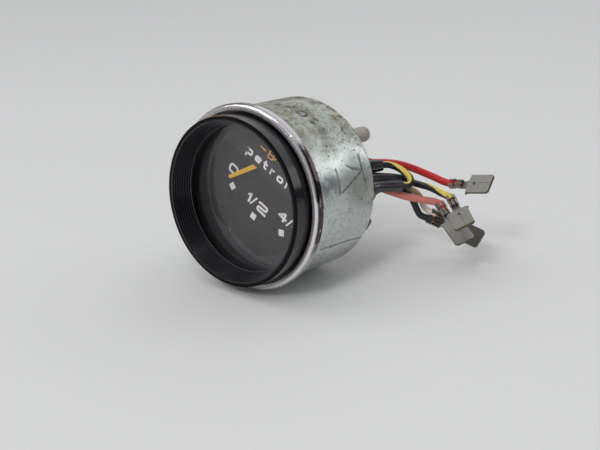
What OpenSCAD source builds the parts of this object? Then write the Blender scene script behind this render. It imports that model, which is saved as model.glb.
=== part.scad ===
// Round panel gauge with a deep dark hood, a swinging pointer and a rear loom with flat tabs.
// The axis runs along Y, from the dial at the front (minus Y) to the rear.
// The origin is on the axis, at the face of the bezel that bears on the panel.

/* [Can] */
// Outside diameter of the can, the nominal size of the gauge
can_d = 52; // [51:0.5:60]
// Sheet thickness of the can
can_wall = 0.7; // [0.5:0.1:1]
// Length of the can behind the panel face
can_len = 26.4; // [25:0.2:40]
// Outer corner radius at the rear of the can
can_corner = 2; // [1.2:0.2:3]

/* [Bezel] */
// How far the bezel stands out past the side of the can
bezel_over = 1.4; // [1.2:0.1:3]
// Sheet thickness of the rolled bezel
bezel_sheet = 0.5; // [0.4:0.05:0.6]
// Height of the bezel's crest in front of the hood flange
bezel_crest = 0.85; // [0.6:0.05:1.4]
// Radius of the roll at the front of the bezel
bezel_roll = 1.3; // [1:0.1:1.6]

/* [Hood] */
// How far the side of the hood lies inside the side of the can
hood_inset = 1.2; // [0.8:0.1:3]
// How far the hood stands out in front of its flange
hood_out = 6.5; // [4:0.5:14]
// Thickness of the hood's flange
hood_flange_t = 0.9; // [0.6:0.1:2]
// Wall of the hood at its lip
hood_lip_wall = 1.7; // [1:0.1:2.4]
// Wall of the hood at the glass
hood_root_wall = 3.2; // [2.6:0.1:5]
// Number of fine steps in the bore of the hood
hood_steps = 8; // [4:1:12]
// Plain band of the bore between the steps and the glass
hood_band = 1.2; // [0.5:0.1:2]

/* [Glass and dial] */
// Thickness of the glass
glass_t = 1.4; // [1:0.1:2]
// Thickness of the gasket behind the glass
gasket_t = 1.4; // [1:0.1:3]
// Width of the gasket's ring
gasket_w = 2.8; // [1.5:0.1:4]
// Thickness of the mask
mask_t = 0.5; // [0.3:0.1:1]
// Radius of the mask's window
window_r = 18.6; // [15:0.2:20]
// Height of the window's straight top edge over the dial's centre
window_top = 8.1; // [4:0.1:10]
// Depth of the window's straight bottom edge under the dial's centre
window_bottom = 15.6; // [12:0.1:17]
// Corner radius of the window
window_corner = 1.5; // [0.5:0.1:3]
// Depth of the light ring between the mask and the dial
ring_len = 4.3; // [4:0.1:8]
// Width of the light ring
ring_w = 1.8; // [1:0.1:3]
// Thickness of the dial plate
dial_t = 0.5; // [0.3:0.1:1]
// Roll of the dial about the axis as the gauge lies
dial_roll = 27.4; // [0:0.1:60]

/* [Pointer] */
// Height of the pointer's pivot over the dial's centre
pivot_v = 13.9; // [13:0.1:15]
// Length of the pointer from its pivot to its tip
pointer_len = 21.1; // [16:0.1:24]
// Width of the pointer at its pivot
pointer_root_w = 1.8; // [1.4:0.1:3]
// Width of the pointer at its tip
pointer_tip_w = 1.1; // [0.8:0.1:1.4]
// Thickness of the pointer
pointer_t = 0.5; // [0.3:0.1:0.8]
// Gap between the dial and the back of the pointer
pointer_gap = 1.75; // [1.4:0.05:2.5]
// Angle of the resting pointer from straight down
pointer_rest = 35.4; // [20:0.1:50]
// Travel of the pointer between its stops
pointer_travel = 65.5; // [30:0.5:80]

/* [Movement] */
// Radius of the spindle
spindle_r = 0.6; // [0.4:0.1:1]
// Thickness of the chassis plate
chassis_t = 1.2; // [0.8:0.1:2]
// Radius of the rotor
rotor_r = 3; // [2:0.1:3.4]
// Length of the rotor
rotor_len = 3; // [2:0.1:5]
// Outer radius of the coil flanges
coil_r = 4.6; // [3:0.1:4.8]
// Length of each coil
coil_len = 9.4; // [6:0.2:10]
// Radius of the iron cores
core_r = 1.6; // [1:0.1:2.2]
// Thickness of the movement frame
frame_t = 1; // [0.8:0.1:1.2]

/* [Rear] */
// Radius of the mounting studs
stud_r = 2.45; // [2:0.05:3.5]
// Length of the mounting studs behind the can
stud_len = 20.5; // [10:0.5:30]
// Distance of each mounting stud from the dial's centre
stud_pitch = 14.2; // [14:0.1:17]
// Radius of the terminal posts
post_r = 1.75; // [1.2:0.05:2]
// Height of the insulating bushes on the rear of the can
bush_h = 4; // [2:0.2:6]
// Radius of the insulating bushes
bush_r = 4; // [3.8:0.1:5.4]
// Width across the flats of the brass nuts
nut_flats = 6; // [5:0.1:6.2]
// Height of the brass nuts
nut_h = 2; // [1.2:0.1:2.2]
// Radius of the lamp holder's cap
lamp_r = 5.5; // [5.4:0.1:6]
// Depth of the lamp holder's cap
lamp_h = 6.3; // [5:0.1:6.3]
// Radius of the bulb's glass
bulb_r = 4.3; // [3:0.1:4.3]

/* [Wires] */
// Diameter of the red and the pink wire
wire_thick = 2.3; // [1.6:0.1:2.4]
// Diameter of the striped and the black wires
wire_mid = 2.1; // [1.4:0.1:2.2]
// Diameter of the white wire
wire_thin = 1.9; // [1.2:0.1:2]
// Wall of the sleeves
sleeve_wall = 0.45; // [0.3:0.05:0.6]
// Width of the flat tabs
tab_w = 6.3; // [4.8:0.1:6.4]
// Thickness of the flat tabs
tab_t = 0.8; // [0.5:0.1:0.9]
// Length of the flat tabs' blades
tab_blade = 8.9; // [7:0.1:10]

/* [Hidden] */

// Clearance of discs in the can, of a shaft in a bearing, and of a pin in a plain hole
disc_gap = 0.3;
run_gap = 0.04;
pin_gap = 0.05;

// Radii from the can outwards and inwards
can_r = can_d / 2;
can_ir = can_r - can_wall;
bezel_or = can_r + bezel_over;
flange_r = bezel_or - bezel_sheet - 0.15;
hood_flange_r = flange_r - 0.15;
hood_or = can_r - hood_inset;
hood_gap = 0.5;
bezel_ir = hood_or + hood_gap;
bezel_seat_gap = 0.35;
lip_ir = hood_or - hood_lip_wall;
root_ir = hood_or - hood_root_wall;
disc_r = can_ir - disc_gap;

// Stations along the axis, from the front to the rear
y_flange = -bezel_sheet;
y_glass = y_flange - can_wall;
y_hood = y_glass - hood_flange_t;
y_lip = y_hood - hood_out;
y_crest = y_hood - bezel_crest;
y_gasket = y_glass + glass_t;
y_mask = y_gasket + gasket_t;
y_ring = y_mask + mask_t;
y_dial = y_ring + ring_len;
y_chassis = y_dial + dial_t;
y_back = y_chassis + chassis_t;
y_needle = y_dial - pointer_gap - pointer_t;
y_in = can_len - can_wall;

// Depth of the groove in the can's wall that the bezel is rolled into
relief = 0.4;

// Movement: stations along the axis and distances from the pivot along each coil
frame_gap = 0.3;
y_coil = y_back + 0.5 + coil_r;
y_bridge = y_coil + coil_r + frame_gap;
y_bridge_back = y_bridge + frame_t;
coil_start = coil_r + 0.4;
coil_end = coil_start + coil_len;
leg_w = 8;
leg_foot = 3;
bearing_r = 2;
pivot = [0, pivot_v];
rivet_uv = [[-10.5, -11.3], [10.5, 11.3]];
rivet_r = 1.7;
light_hole_r = 1.3;
light_hole_ring = 21;
light_hole_angles = [-60, -30, 0, 30, 60, 165, 180];

// Rear pieces: places as [x, z], and the stack on each post
post_a = [-6, 6];
post_b = [18, -2];
post_c = [16.6, -10.6];
posts = [post_a, post_b, post_c];
tag_counts = [2, 1, 2];
lamp_at = [-0.3, -4.4];
washer_t = 1.2;
washer_r = 3.6;
head_t = 1.4;
head_r = 2.9;
spigot_r = 2.9;
tag_t = 0.5;
tag_pitch = tag_t + 0.05;
tag_w = 2.4;
tag_ring_r = 3.4;
tag_rise = 0.9;
tag_barrel = 3.2;
y_tags = can_len + bush_h;
post_over = 0.4;
stud_spigot_r = 1.6;
stud_head_r = 2.6;
stud_head_t = 0.8;
shell_r = 4.9;
shell_ir = 4.5;
shell_flange_r = 6.2;
shell_flange_t = 0.8;
shell_in = 4.2;
bulb_cap_len = 8.9;
bulb_len = 8.5;
y_lamp = can_len + shell_flange_t + lamp_h;

// Flat tabs: [mouth point], [turns about X, Y and Z]
tab_a = [[32.4, 57.8, -0.7], [51, -14, -12]];
tab_b = [[38.8, 47.3, -1.7], [30, 13, -43]];
tab_c = [[33.4, 50.1, -5.4], [25, 28, -22]];
tab_d = [[29.1, 51.6, -10.4], [95, 24, 37]];
tab_sheet = 0.4;
grip_len = 1.8;
crimp_at = 2.1;
crimp_len = 2.6;
neck_len = 2.5;
pair_neck = 4.9;
core_from = 1.6;
core_to = 5;
tab_hole_r = 0.4;
tab_hole_at = 2.4;
wire_fit = 0.05;
pair_gap = 0.1;

// Sleeves as [start, end]
sleeve_a = [[15, 37.8, 5.1], [17.5, 41, 5.5]];
sleeve_b = [[17.3, 38.8, 1.5], [22.8, 45.0, 1.2]];
sleeve_c = [[19.8, 36.7, -0.1], [25.0, 41.5, 0.5]];

// Routes of the wires
route_red = [
    [0.2, 32, 8], [0.2, 36.5, 8], [1.6, 38.6, 8], [4.8, 40, 7.8], [8.6, 40.4, 7.2], [12.2, 40.5, 5.7],
    [14.9, 44.8, 5.1], [16.4, 48.1, 4.6], [18.4, 51.2, 3.8], [20.7, 53.9, 2.6], [23.2, 55.5, 1.6],
    [27.2, 57.2, 0.2], [29.7, 57.4, -0.4]
];
route_loop = [
    [0, 32.5, 4.2], [0, 36.6, 4.2], [1.6, 38.2, 4.2], [4.5, 38.5, 4.3], [8, 37.2, 4.5],
    [11.5, 36.1, 4.8], [13.5, 36.6, 5], [15, 37.8, 5.1], [17.5, 41, 5.5], [18.5, 42.6, 5.5],
    [20.2, 43.7, 5.1], [22.5, 43.7, 4.6], [24.6, 43.9, 3.6], [26.1, 43.8, 2.6], [26.9, 43.3, 1.5],
    [26.6, 42.5, 0.7], [25, 41.5, 0.5], [19.8, 36.7, -0.1], [16.6, 34.6, -0.8], [14.5, 34.3, -1.2],
    [12.4, 34.9, -1.9], [10, 36, -3.2], [7, 36.9, -4.6], [4, 37.4, -5.6], [1.8, 36.8, -6.2],
    [0.7, 35.2, -6.4], [0.7, 32.3, -6.4]
];
route_striped = [
    [-0.3, 32.3, -2.4], [-0.3, 35.4, -2.4], [1, 37.1, -2.2], [3.8, 38, -1.4], [7, 38, -0.5],
    [10, 37.6, 0.3], [12.6, 37.3, 1], [15, 37.4, 1.5], [17.3, 38.8, 1.5], [22.8, 45, 1.2],
    [24.3, 46.5, 0.6], [26.1, 47.1, 0.2], [28.3, 47.2, 0.1], [30.8, 47.2, -0], [33.2, 47.2, -0.4],
    [35.1, 47.2, -0.9], [36.9, 47.2, -1.2]
];
route_pink = [
    [12.6, 32, -4.6], [12.6, 36, -4.6], [14.5, 37.4, -3.5], [16.6, 38.7, -2], [18.5, 39.6, -1.5],
    [20.4, 40.6, -2], [21.7, 41.6, -2.5], [23.3, 42.9, -3.1], [25.1, 44.4, -3.7], [27.5, 46.4, -4.3],
    [29.4, 47.8, -4.6], [30.7, 48.9, -4.8], [32, 49.7, -5]
];
route_white = [
    [10.8, 32.5, -7.8], [10.8, 37, -7.8], [10.2, 39.2, -7.1], [10.6, 41.4, -5.8], [12.2, 43.4, -4.3],
    [14.7, 44.6, -3], [17.9, 46, -2.1], [20.9, 47.9, -1.8], [22.9, 49.5, -2.7], [24.5, 51.1, -4.1],
    [25.6, 52, -5.9], [26.3, 51.9, -7.4], [27.8, 51.6, -8.5]
];
route_black = [
    [11.4, 32, -12.2], [11.4, 36.5, -12.2], [11.6, 38.1, -10.5], [12.7, 39.4, -8.1], [14.2, 40.7, -4.8],
    [16.4, 41.9, -2.7], [18.9, 43.5, -2], [21.2, 45, -2.2], [22.9, 46.2, -2.8], [24.2, 47.3, -4.1],
    [25.1, 48.5, -6.4], [26, 49.3, -8.8], [26.7, 50.5, -10.7]
];

// Points of an arc in a turned profile
function arc(c, r, a0, a1, n) =
    [for (i = [0:n]) let (a = a0 + (a1 - a0) * i / n) [c[0] + r * cos(a), c[1] + r * sin(a)]];

// A solid of revolution about the Y axis from a profile of [radius, station] points
module turned(points) {
    rotate([-90, 0, 0])
        rotate_extrude($fn = 128)
            polygon(points);
}

// A disc, a ring or a hole along Y
module disc(r, y0, y1) {
    translate([0, y0, 0])
        rotate([-90, 0, 0])
            cylinder(r = r, h = y1 - y0, $fn = 96);
}

module ring(r_out, r_in, y0, y1) {
    difference() {
        disc(r_out, y0, y1);
        disc(r_in, y0 - 1, y1 + 1);
    }
}

// Moves a piece to a place on the rear, given as [x, z]
module at_xz(p) {
    translate([p[0], 0, p[1]])
        children();
}

// Turns the dial's own upright into the lying gauge
module rolled() {
    rotate([0, dial_roll, 0])
        children();
}

// A plate drawn upright in the dial's plane
module plate(y0, t) {
    translate([0, y0 + t, 0])
        rotate([90, 0, 0])
            linear_extrude(height = t)
                children();
}

module case_can() {
    body = concat(
        [[can_ir, y_glass], [flange_r, y_glass], [flange_r, y_flange], [can_r - relief, y_flange],
         [can_r - relief, 0], [can_r, 0]],
        arc([can_r - can_corner, can_len - can_corner], can_corner, 0, 90, 8),
        [[0, can_len], [0, y_in]],
        arc([can_r - can_corner, can_len - can_corner], can_corner - can_wall, 90, 0, 6)
    );
    color([0.62, 0.66, 0.63])
        difference() {
            turned(body);
            for (p = posts)
                at_xz(p)
                    disc(spigot_r + pin_gap, y_in - 1, can_len + 1);
            at_xz(lamp_at)
                disc(shell_r + pin_gap, y_in - 1, can_len + 1);
            rolled()
                for (s = [-1, 1])
                    translate([0, 0, s * stud_pitch])
                        disc(stud_spigot_r + pin_gap, y_in - 1, can_len + 1);
        }
}

module bezel_ring() {
    wall_r = bezel_or - bezel_sheet;
    seat_r = can_r + bezel_seat_gap;
    roll_c = [bezel_or - bezel_roll, y_crest + bezel_roll];
    profile = concat(
        [[seat_r, 0], [seat_r, y_flange], [wall_r, y_flange], [wall_r, y_hood], [bezel_ir, y_hood]],
        arc([bezel_ir + 0.4, y_crest + 0.45], 0.4, 180, 250, 4),
        arc(roll_c, bezel_roll, -90, 0, 10),
        arc([bezel_or - bezel_sheet, y_flange], bezel_sheet, 0, 90, 5)
    );
    color([0.85, 0.86, 0.88])
        turned(profile);
}

module hood() {
    step_len = (y_glass - hood_band - y_lip) / hood_steps;
    step_r = (lip_ir - root_ir) / hood_steps;
    lip_round = 0.3;
    steps = [for (k = [1:hood_steps]) for (j = [0, 1])
        [lip_ir - (k - 1 + j) * step_r, y_lip + k * step_len]];
    profile = concat(
        [[root_ir, y_glass], [hood_flange_r, y_glass], [hood_flange_r, y_hood], [hood_or, y_hood]],
        arc([hood_or - lip_round, y_lip + lip_round], lip_round, 0, -90, 4),
        arc([lip_ir + lip_round, y_lip + lip_round], lip_round, -90, -180, 4),
        steps
    );
    color([0.07, 0.07, 0.08])
        turned(profile);
}

module lens_glass() {
    color([0.85, 0.9, 0.9, 0.3])
        disc(disc_r, y_glass, y_gasket);
}

module glass_gasket() {
    color([0.08, 0.08, 0.08])
        ring(disc_r, disc_r - gasket_w, y_gasket, y_mask);
}

module dial_mask() {
    color([0.1, 0.1, 0.1])
        rolled()
            plate(y_mask, mask_t)
                difference() {
                    circle(r = disc_r, $fn = 96);
                    offset(r = window_corner, $fn = 24)
                        offset(delta = -window_corner)
                            intersection() {
                                translate([0, 0.5])
                                    circle(r = window_r, $fn = 96);
                                translate([-window_r, -window_bottom])
                                    square([2 * window_r, window_top + window_bottom]);
                            }
                }
}

module light_ring() {
    color([0.75, 0.75, 0.72])
        ring(disc_r, disc_r - ring_w, y_ring, y_dial);
}

// Holes that the dial and the chassis share: light holes and rivet holes
module shared_holes() {
    for (a = light_hole_angles)
        rotate(a)
            translate([0, light_hole_ring])
                circle(r = light_hole_r, $fn = 32);
    for (p = rivet_uv)
        translate(p)
            circle(r = rivet_r / 2 + pin_gap, $fn = 32);
}

module dial_plate() {
    color([0.09, 0.09, 0.1])
        rolled()
            plate(y_dial, dial_t)
                difference() {
                    circle(r = disc_r, $fn = 96);
                    translate(pivot)
                        circle(r = bearing_r + pin_gap, $fn = 48);
                    shared_holes();
                }
}

module dial_rivets() {
    color([0.06, 0.06, 0.06])
        rolled()
            for (p = rivet_uv)
                at_xz(p) {
                    disc(rivet_r, y_dial - 0.4, y_dial);
                    disc(rivet_r / 2, y_dial, y_back);
                    disc(rivet_r * 0.75, y_back, y_back + 0.5);
                }
}

// Angle from straight up to each stop, past the swing of the pointer's tail
tail_len = 4.6;
stop_r = 0.5;
stop_at = 3.9;
stop_gap = 0.12;
stop_turn = asin((pointer_root_w / 2 + stop_r + stop_gap) / stop_at);

module pointer_stops() {
    color([0.12, 0.12, 0.12])
        rolled()
            at_xz(pivot)
                for (a = [pointer_rest + stop_turn, pointer_rest - pointer_travel - stop_turn])
                    rotate([0, a, 0])
                        translate([0, 0, stop_at])
                            disc(stop_r, y_needle - 0.3, y_dial);
}

module pointer() {
    r0 = pointer_root_w / 2;
    r1 = pointer_tip_w / 2;
    color([0.85, 0.65, 0.12])
        rolled()
            at_xz(pivot)
                rotate([0, pointer_rest, 0])
                    difference() {
                        union() {
                            plate(y_needle, pointer_t)
                                polygon([[-r0, tail_len], [r0, tail_len], [r1, r1 - pointer_len],
                                         [-r1, r1 - pointer_len]]);
                            translate([0, 0, r1 - pointer_len])
                                disc(r1, y_needle, y_needle + pointer_t);
                            disc(hub_r, y_needle, y_needle + pointer_t);
                        }
                        disc(hub_neck_r + 0.02, y_needle - 1, y_needle + 2);
                    }
}

hub_r = 2.4;
hub_neck_r = 1.1;

// The hub grips the pointer from both sides and is pressed on the spindle
module pointer_hub() {
    color([0.1, 0.1, 0.1])
        rolled()
            at_xz(pivot)
                difference() {
                    union() {
                        disc(hub_r, y_needle - 0.8, y_needle);
                        disc(hub_neck_r, y_needle - 0.1, y_needle + pointer_t + 0.1);
                        disc(hub_r - 0.4, y_needle + pointer_t, y_needle + pointer_t + 0.6);
                    }
                    disc(spindle_r, y_needle - 2, y_needle + pointer_t + 2);
                }
}

module spindle() {
    color([0.6, 0.6, 0.6])
        rolled()
            at_xz(pivot)
                disc(spindle_r, y_needle - 0.8, y_bridge_back + 0.4);
}

module rotor() {
    color([0.35, 0.35, 0.37])
        rolled()
            at_xz(pivot)
                ring(rotor_r, spindle_r, y_coil - rotor_len / 2, y_coil + rotor_len / 2);
}

module chassis_plate() {
    lamp_window_r = shell_r + 1;
    color([0.7, 0.68, 0.6])
        difference() {
            rolled()
                plate(y_chassis, chassis_t)
                    difference() {
                        circle(r = disc_r, $fn = 96);
                        translate(pivot)
                            circle(r = bearing_r + pin_gap, $fn = 48);
                        shared_holes();
                    }
            at_xz(lamp_at)
                disc(lamp_window_r, y_chassis - 1, y_back + 1);
        }
}

// A sleeve that holds the chassis plate against the dial, from the can's rear wall
module support_sleeve() {
    inner = min(disc_r - 1.4, can_r - can_corner - 0.3);
    color([0.8, 0.8, 0.76])
        turned([
            [inner, y_back], [disc_r, y_back], [disc_r, can_len - can_corner],
            [can_r - can_corner, y_in], [inner, y_in]
        ]);
}

// Turns towards one of the two coils, which lie 45 degrees to each side of straight down
module towards_coil(side) {
    rotate([0, -side * 45, 0])
        rotate([0, 180, 0])
            children();
}

// A round bar along the coil, from one distance to the other, drawn along local Z
module along_coil(r, d0, d1) {
    translate([0, y_coil, d0])
        cylinder(r = r, h = d1 - d0, $fn = 64);
}

module movement_frame() {
    color([0.66, 0.62, 0.5])
        rolled()
            at_xz(pivot)
                difference() {
                    union() {
                        disc(leg_w / 2 + 0.5, y_bridge, y_bridge_back);
                        for (s = [-1, 1])
                            towards_coil(s) {
                                translate([-leg_w / 2, y_bridge, 0])
                                    cube([leg_w, frame_t, coil_end + frame_t]);
                                translate([-leg_w / 2, y_back, coil_end])
                                    cube([leg_w, y_bridge_back - y_back, frame_t]);
                                translate([-leg_w / 2, y_back, coil_end])
                                    cube([leg_w, frame_t, frame_t + leg_foot]);
                            }
                    }
                    disc(bearing_r - 0.4 + pin_gap, y_bridge - 1, y_bridge_back + 1);
                    for (s = [-1, 1])
                        towards_coil(s) {
                            along_coil(core_r + pin_gap, coil_end - 1, coil_end + frame_t + 1);
                            translate([0, 0, coil_end + frame_t + leg_foot / 2])
                                disc(0.8 + pin_gap, y_back - 1, y_back + frame_t + 1);
                        }
                }
}

// Screws through the feet of the frame, with their heads on the feet
module frame_rivets() {
    color([0.7, 0.6, 0.35])
        rolled()
            at_xz(pivot)
                for (s = [-1, 1])
                    towards_coil(s)
                        translate([0, 0, coil_end + frame_t + leg_foot / 2]) {
                            disc(0.8, y_back, y_back + frame_t);
                            disc(1.3, y_back + frame_t, y_back + frame_t + 0.6);
                        }
}

module bearing(y0, y1, flange_y0, flange_y1, r, flange) {
    difference() {
        union() {
            disc(r, y0, y1);
            disc(flange, flange_y0, flange_y1);
        }
        disc(spindle_r + run_gap, y0 - 2, y1 + 2);
    }
}

module front_bearing() {
    color([0.75, 0.6, 0.3])
        rolled()
            at_xz(pivot)
                bearing(y_dial, y_back + 0.6, y_back, y_back + 0.6, bearing_r, bearing_r + 0.8);
}

module rear_bearing() {
    r = bearing_r - 0.4;
    color([0.75, 0.6, 0.3])
        rolled()
            at_xz(pivot)
                bearing(y_bridge, y_bridge_back + 0.6, y_bridge_back, y_bridge_back + 0.6, r, r + 0.8);
}

module coil_cores() {
    color([0.5, 0.5, 0.5])
        rolled()
            at_xz(pivot)
                for (s = [-1, 1])
                    towards_coil(s)
                        along_coil(core_r, rotor_r + 0.8, coil_end + frame_t);
}

module coil_bobbins() {
    flange_t = 0.6;
    color([0.85, 0.82, 0.7])
        rolled()
            at_xz(pivot)
                for (s = [-1, 1])
                    towards_coil(s)
                        difference() {
                            union() {
                                along_coil(core_r + 0.6, coil_start, coil_end);
                                along_coil(coil_r, coil_start, coil_start + flange_t);
                                along_coil(coil_r, coil_end - flange_t, coil_end);
                            }
                            along_coil(core_r + pin_gap, coil_start - 1, coil_end + 1);
                        }
}

module coil_windings() {
    flange_t = 0.6;
    color([0.6, 0.3, 0.15])
        rolled()
            at_xz(pivot)
                for (s = [-1, 1])
                    towards_coil(s)
                        difference() {
                            along_coil(coil_r - 0.3, coil_start + flange_t, coil_end - flange_t);
                            along_coil(core_r + 0.6, coil_start - 1, coil_end + 1);
                        }
}

module mounting_studs() {
    dome = 1.4;
    end = can_len + stud_len;
    profile = concat(
        [[0, y_in - stud_head_t], [stud_head_r, y_in - stud_head_t], [stud_head_r, y_in],
         [stud_spigot_r, y_in], [stud_spigot_r, can_len], [stud_r, can_len]],
        [for (a = [0:15:90]) [stud_r * cos(a), end - dome + dome * sin(a)]]
    );
    color([0.55, 0.52, 0.46])
        rolled()
            for (s = [-1, 1])
                translate([0, 0, s * stud_pitch])
                    turned(profile);
}

module terminal_posts() {
    color([0.75, 0.6, 0.3])
        for (i = [0:2])
            at_xz(posts[i]) {
                disc(head_r, y_in - washer_t - head_t, y_in - washer_t);
                disc(post_r, y_in - washer_t, y_tags + tag_counts[i] * tag_pitch + nut_h + post_over);
            }
}

module inner_washers() {
    color([0.6, 0.35, 0.2])
        for (p = posts)
            at_xz(p)
                ring(washer_r, post_r + pin_gap, y_in - washer_t, y_in);
}

module round_bush() {
    color([0.85, 0.8, 0.66])
        at_xz(post_a)
            difference() {
                union() {
                    disc(spigot_r, y_in, can_len);
                    disc(bush_r, can_len, y_tags);
                }
                disc(post_r + pin_gap, y_in - 1, y_tags + 1);
            }
}

module twin_bush() {
    color([0.85, 0.8, 0.66])
        difference() {
            union() {
                for (p = [post_b, post_c])
                    at_xz(p)
                        disc(spigot_r, y_in, can_len + 0.1);
                hull()
                    for (p = [post_b, post_c])
                        translate([p[0], can_len, p[1]])
                            rotate([-90, 0, 0])
                                cylinder(r = bush_r, h = bush_h, $fn = 48);
            }
            for (p = [post_b, post_c])
                at_xz(p)
                    disc(post_r + pin_gap, y_in - 1, y_tags + 1);
        }
}

module post_nuts() {
    color([0.75, 0.6, 0.3])
        for (i = [0:2])
            at_xz(posts[i])
                difference() {
                    translate([0, y_tags + tag_counts[i] * tag_pitch, 0])
                        rotate([-90, 0, 0])
                            cylinder(r = nut_flats / 2 / cos(30), h = nut_h, $fn = 6);
                    disc(post_r + pin_gap, y_tags - 1, y_tags + nut_h + 5);
                }
}

// A ring tag on a post, bent up to a crimp around a wire that starts at route point p
module ring_tag(post, level, p, wire_d) {
    y0 = y_tags + level * tag_pitch;
    dx = p[0] - post[0];
    dz = p[2] - post[1];
    reach = norm([dx, dz]);
    r_out = wire_d / 2 + wire_fit + tab_sheet;
    riser = reach - r_out - tab_sheet + 0.3;
    at_xz(post)
        rotate([0, -atan2(dz, dx), 0])
            difference() {
                union() {
                    disc(tag_ring_r, y0, y0 + tag_t);
                    translate([0, y0, -tag_w / 2])
                        cube([riser + tag_t, tag_t, tag_w]);
                    translate([riser, y0, -tag_w / 2])
                        cube([tag_t, tag_rise + tag_barrel, tag_w]);
                    translate([reach, 0, 0])
                        disc(r_out, y0 + tag_rise, y0 + tag_rise + tag_barrel);
                }
                disc(post_r + pin_gap, y0 - 1, y0 + tag_t + 1);
                translate([reach, 0, 0])
                    disc(wire_d / 2 + wire_fit, y0 + tag_rise - 1, y0 + tag_rise + tag_barrel + 1);
            }
}

module ring_tags() {
    color([0.7, 0.7, 0.68]) {
        ring_tag(post_a, 0, route_red[0], wire_thick);
        ring_tag(post_a, 1, route_loop[0], wire_mid);
        ring_tag(post_b, 0, route_pink[0], wire_thick);
        ring_tag(post_c, 0, route_black[0], wire_mid);
        ring_tag(post_c, 1, route_white[0], wire_thin);
    }
}

module lamp_shell() {
    color([0.7, 0.7, 0.68])
        at_xz(lamp_at)
            difference() {
                union() {
                    disc(shell_r, y_in - shell_in, can_len + 0.1);
                    disc(shell_flange_r, can_len, can_len + shell_flange_t);
                }
                disc(shell_ir, y_in - shell_in - 1, can_len + shell_flange_t + 1);
            }
}

// The cap over the rear of the lamp holder, with a hollow for the bulb's cap and two wire holes
module lamp_cap() {
    y0 = can_len + shell_flange_t;
    color([0.1, 0.1, 0.1])
        difference() {
            at_xz(lamp_at)
                difference() {
                    disc(lamp_r, y0, y_lamp);
                    disc(shell_ir, y0 - 1, y0 + lamp_h - 3.4);
                }
            for (p = [route_striped[0], route_loop[len(route_loop) - 1]])
                at_xz([p[0], p[2]])
                    disc(wire_mid / 2 + wire_fit, y_lamp - 1.2, y_lamp + 1);
        }
}

y_bulb = y_lamp - 3.4 - bulb_cap_len;

module bulb_cap() {
    color([0.75, 0.6, 0.3])
        at_xz(lamp_at)
            disc(shell_ir - 0.1, y_bulb, y_bulb + bulb_cap_len);
}

module bulb_glass() {
    color([0.9, 0.9, 0.85, 0.4])
        at_xz(lamp_at)
            turned(concat(
                [[0, y_bulb], [bulb_r, y_bulb]],
                [for (a = [0:10:90]) [bulb_r * cos(a), y_bulb - bulb_len + bulb_r - bulb_r * sin(a)]]
            ));
}

// A straight tube from one point to another
module tube_between(p, q, r_out, r_in) {
    d = q - p;
    translate(p)
        rotate([0, acos(d[2] / norm(d)), atan2(d[1], d[0])])
            difference() {
                cylinder(r = r_out, h = norm(d), $fn = 48);
                translate([0, 0, -1])
                    cylinder(r = r_in, h = norm(d) + 2, $fn = 48);
            }
}

module sleeve(s) {
    r = wire_mid / 2 + wire_fit;
    color([0.08, 0.08, 0.09])
        tube_between(s[0], s[1], r + sleeve_wall, r);
}

module sleeve_upper() {
    sleeve(sleeve_a);
}

module sleeve_middle() {
    sleeve(sleeve_b);
}

module sleeve_lower() {
    sleeve(sleeve_c);
}

// Turns a vector by angles about X, then Y, then Z
function turn_x(v, a) = [v[0], v[1] * cos(a) - v[2] * sin(a), v[1] * sin(a) + v[2] * cos(a)];
function turn_y(v, a) = [v[0] * cos(a) + v[2] * sin(a), v[1], v[2] * cos(a) - v[0] * sin(a)];
function turn_z(v, a) = [v[0] * cos(a) - v[1] * sin(a), v[0] * sin(a) + v[1] * cos(a), v[2]];
function on_tab(tab, x, y) =
    tab[0] + turn_z(turn_y(turn_x([x, y, 0], tab[1][0]), tab[1][1]), tab[1][2]);
function lead(tab, y) = [for (x = [0, core_from]) on_tab(tab, x, y)];

// A wire swept along its points with eight sides, square to the bisector at each bend
function unit(v) = v / norm(v);
function tangent(p, i) =
    i == 0 ? unit(p[1] - p[0]) :
    i == len(p) - 1 ? unit(p[i] - p[i - 1]) :
    unit(unit(p[i] - p[i - 1]) + unit(p[i + 1] - p[i]));
function carried(n, t) = unit(n - (n * t) * t);
function normals(p, i = 0, n = [0.1, 0.2, 1]) =
    i == len(p) ? [] :
    let (m = carried(n, tangent(p, i))) concat([m], normals(p, i + 1, m));

module wire(p, d) {
    sides = 8;
    n = normals(p);
    last = len(p) - 1;
    points = [
        for (i = [0:last])
            let (t = tangent(p, i), u = n[i], w = cross(t, u))
                for (k = [0:sides - 1])
                    let (a = 360 * k / sides)
                        p[i] + d / 2 * (cos(a) * u + sin(a) * w)
    ];
    walls = [
        for (i = [0:last - 1])
            for (k = [0:sides - 1])
                let (j = (k + 1) % sides)
                    for (f = [0, 1])
                        f == 0
                            ? [i * sides + k, (i + 1) * sides + k, (i + 1) * sides + j]
                            : [i * sides + k, (i + 1) * sides + j, i * sides + j]
    ];
    ends = [
        [for (k = [0:sides - 1]) k],
        [for (k = [sides - 1:-1:0]) last * sides + k]
    ];
    polyhedron(points = points, faces = concat(walls, ends), convexity = 6);
}

module wire_red() {
    color([0.75, 0.12, 0.12])
        wire(concat(route_red, lead(tab_a, 0)), wire_thick);
}

module wire_loop() {
    color([0.12, 0.12, 0.1])
        wire(route_loop, wire_mid);
}

module wire_striped() {
    color([0.8, 0.7, 0.25])
        wire(concat(route_striped, lead(tab_b, 0)), wire_mid);
}

module wire_pink() {
    color([0.85, 0.5, 0.5])
        wire(concat(route_pink, lead(tab_c, 0)), wire_thick);
}

module wire_white() {
    color([0.85, 0.82, 0.78])
        wire(concat(route_white, lead(tab_d, wire_mid / 2 + pair_gap)), wire_thin);
}

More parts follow.
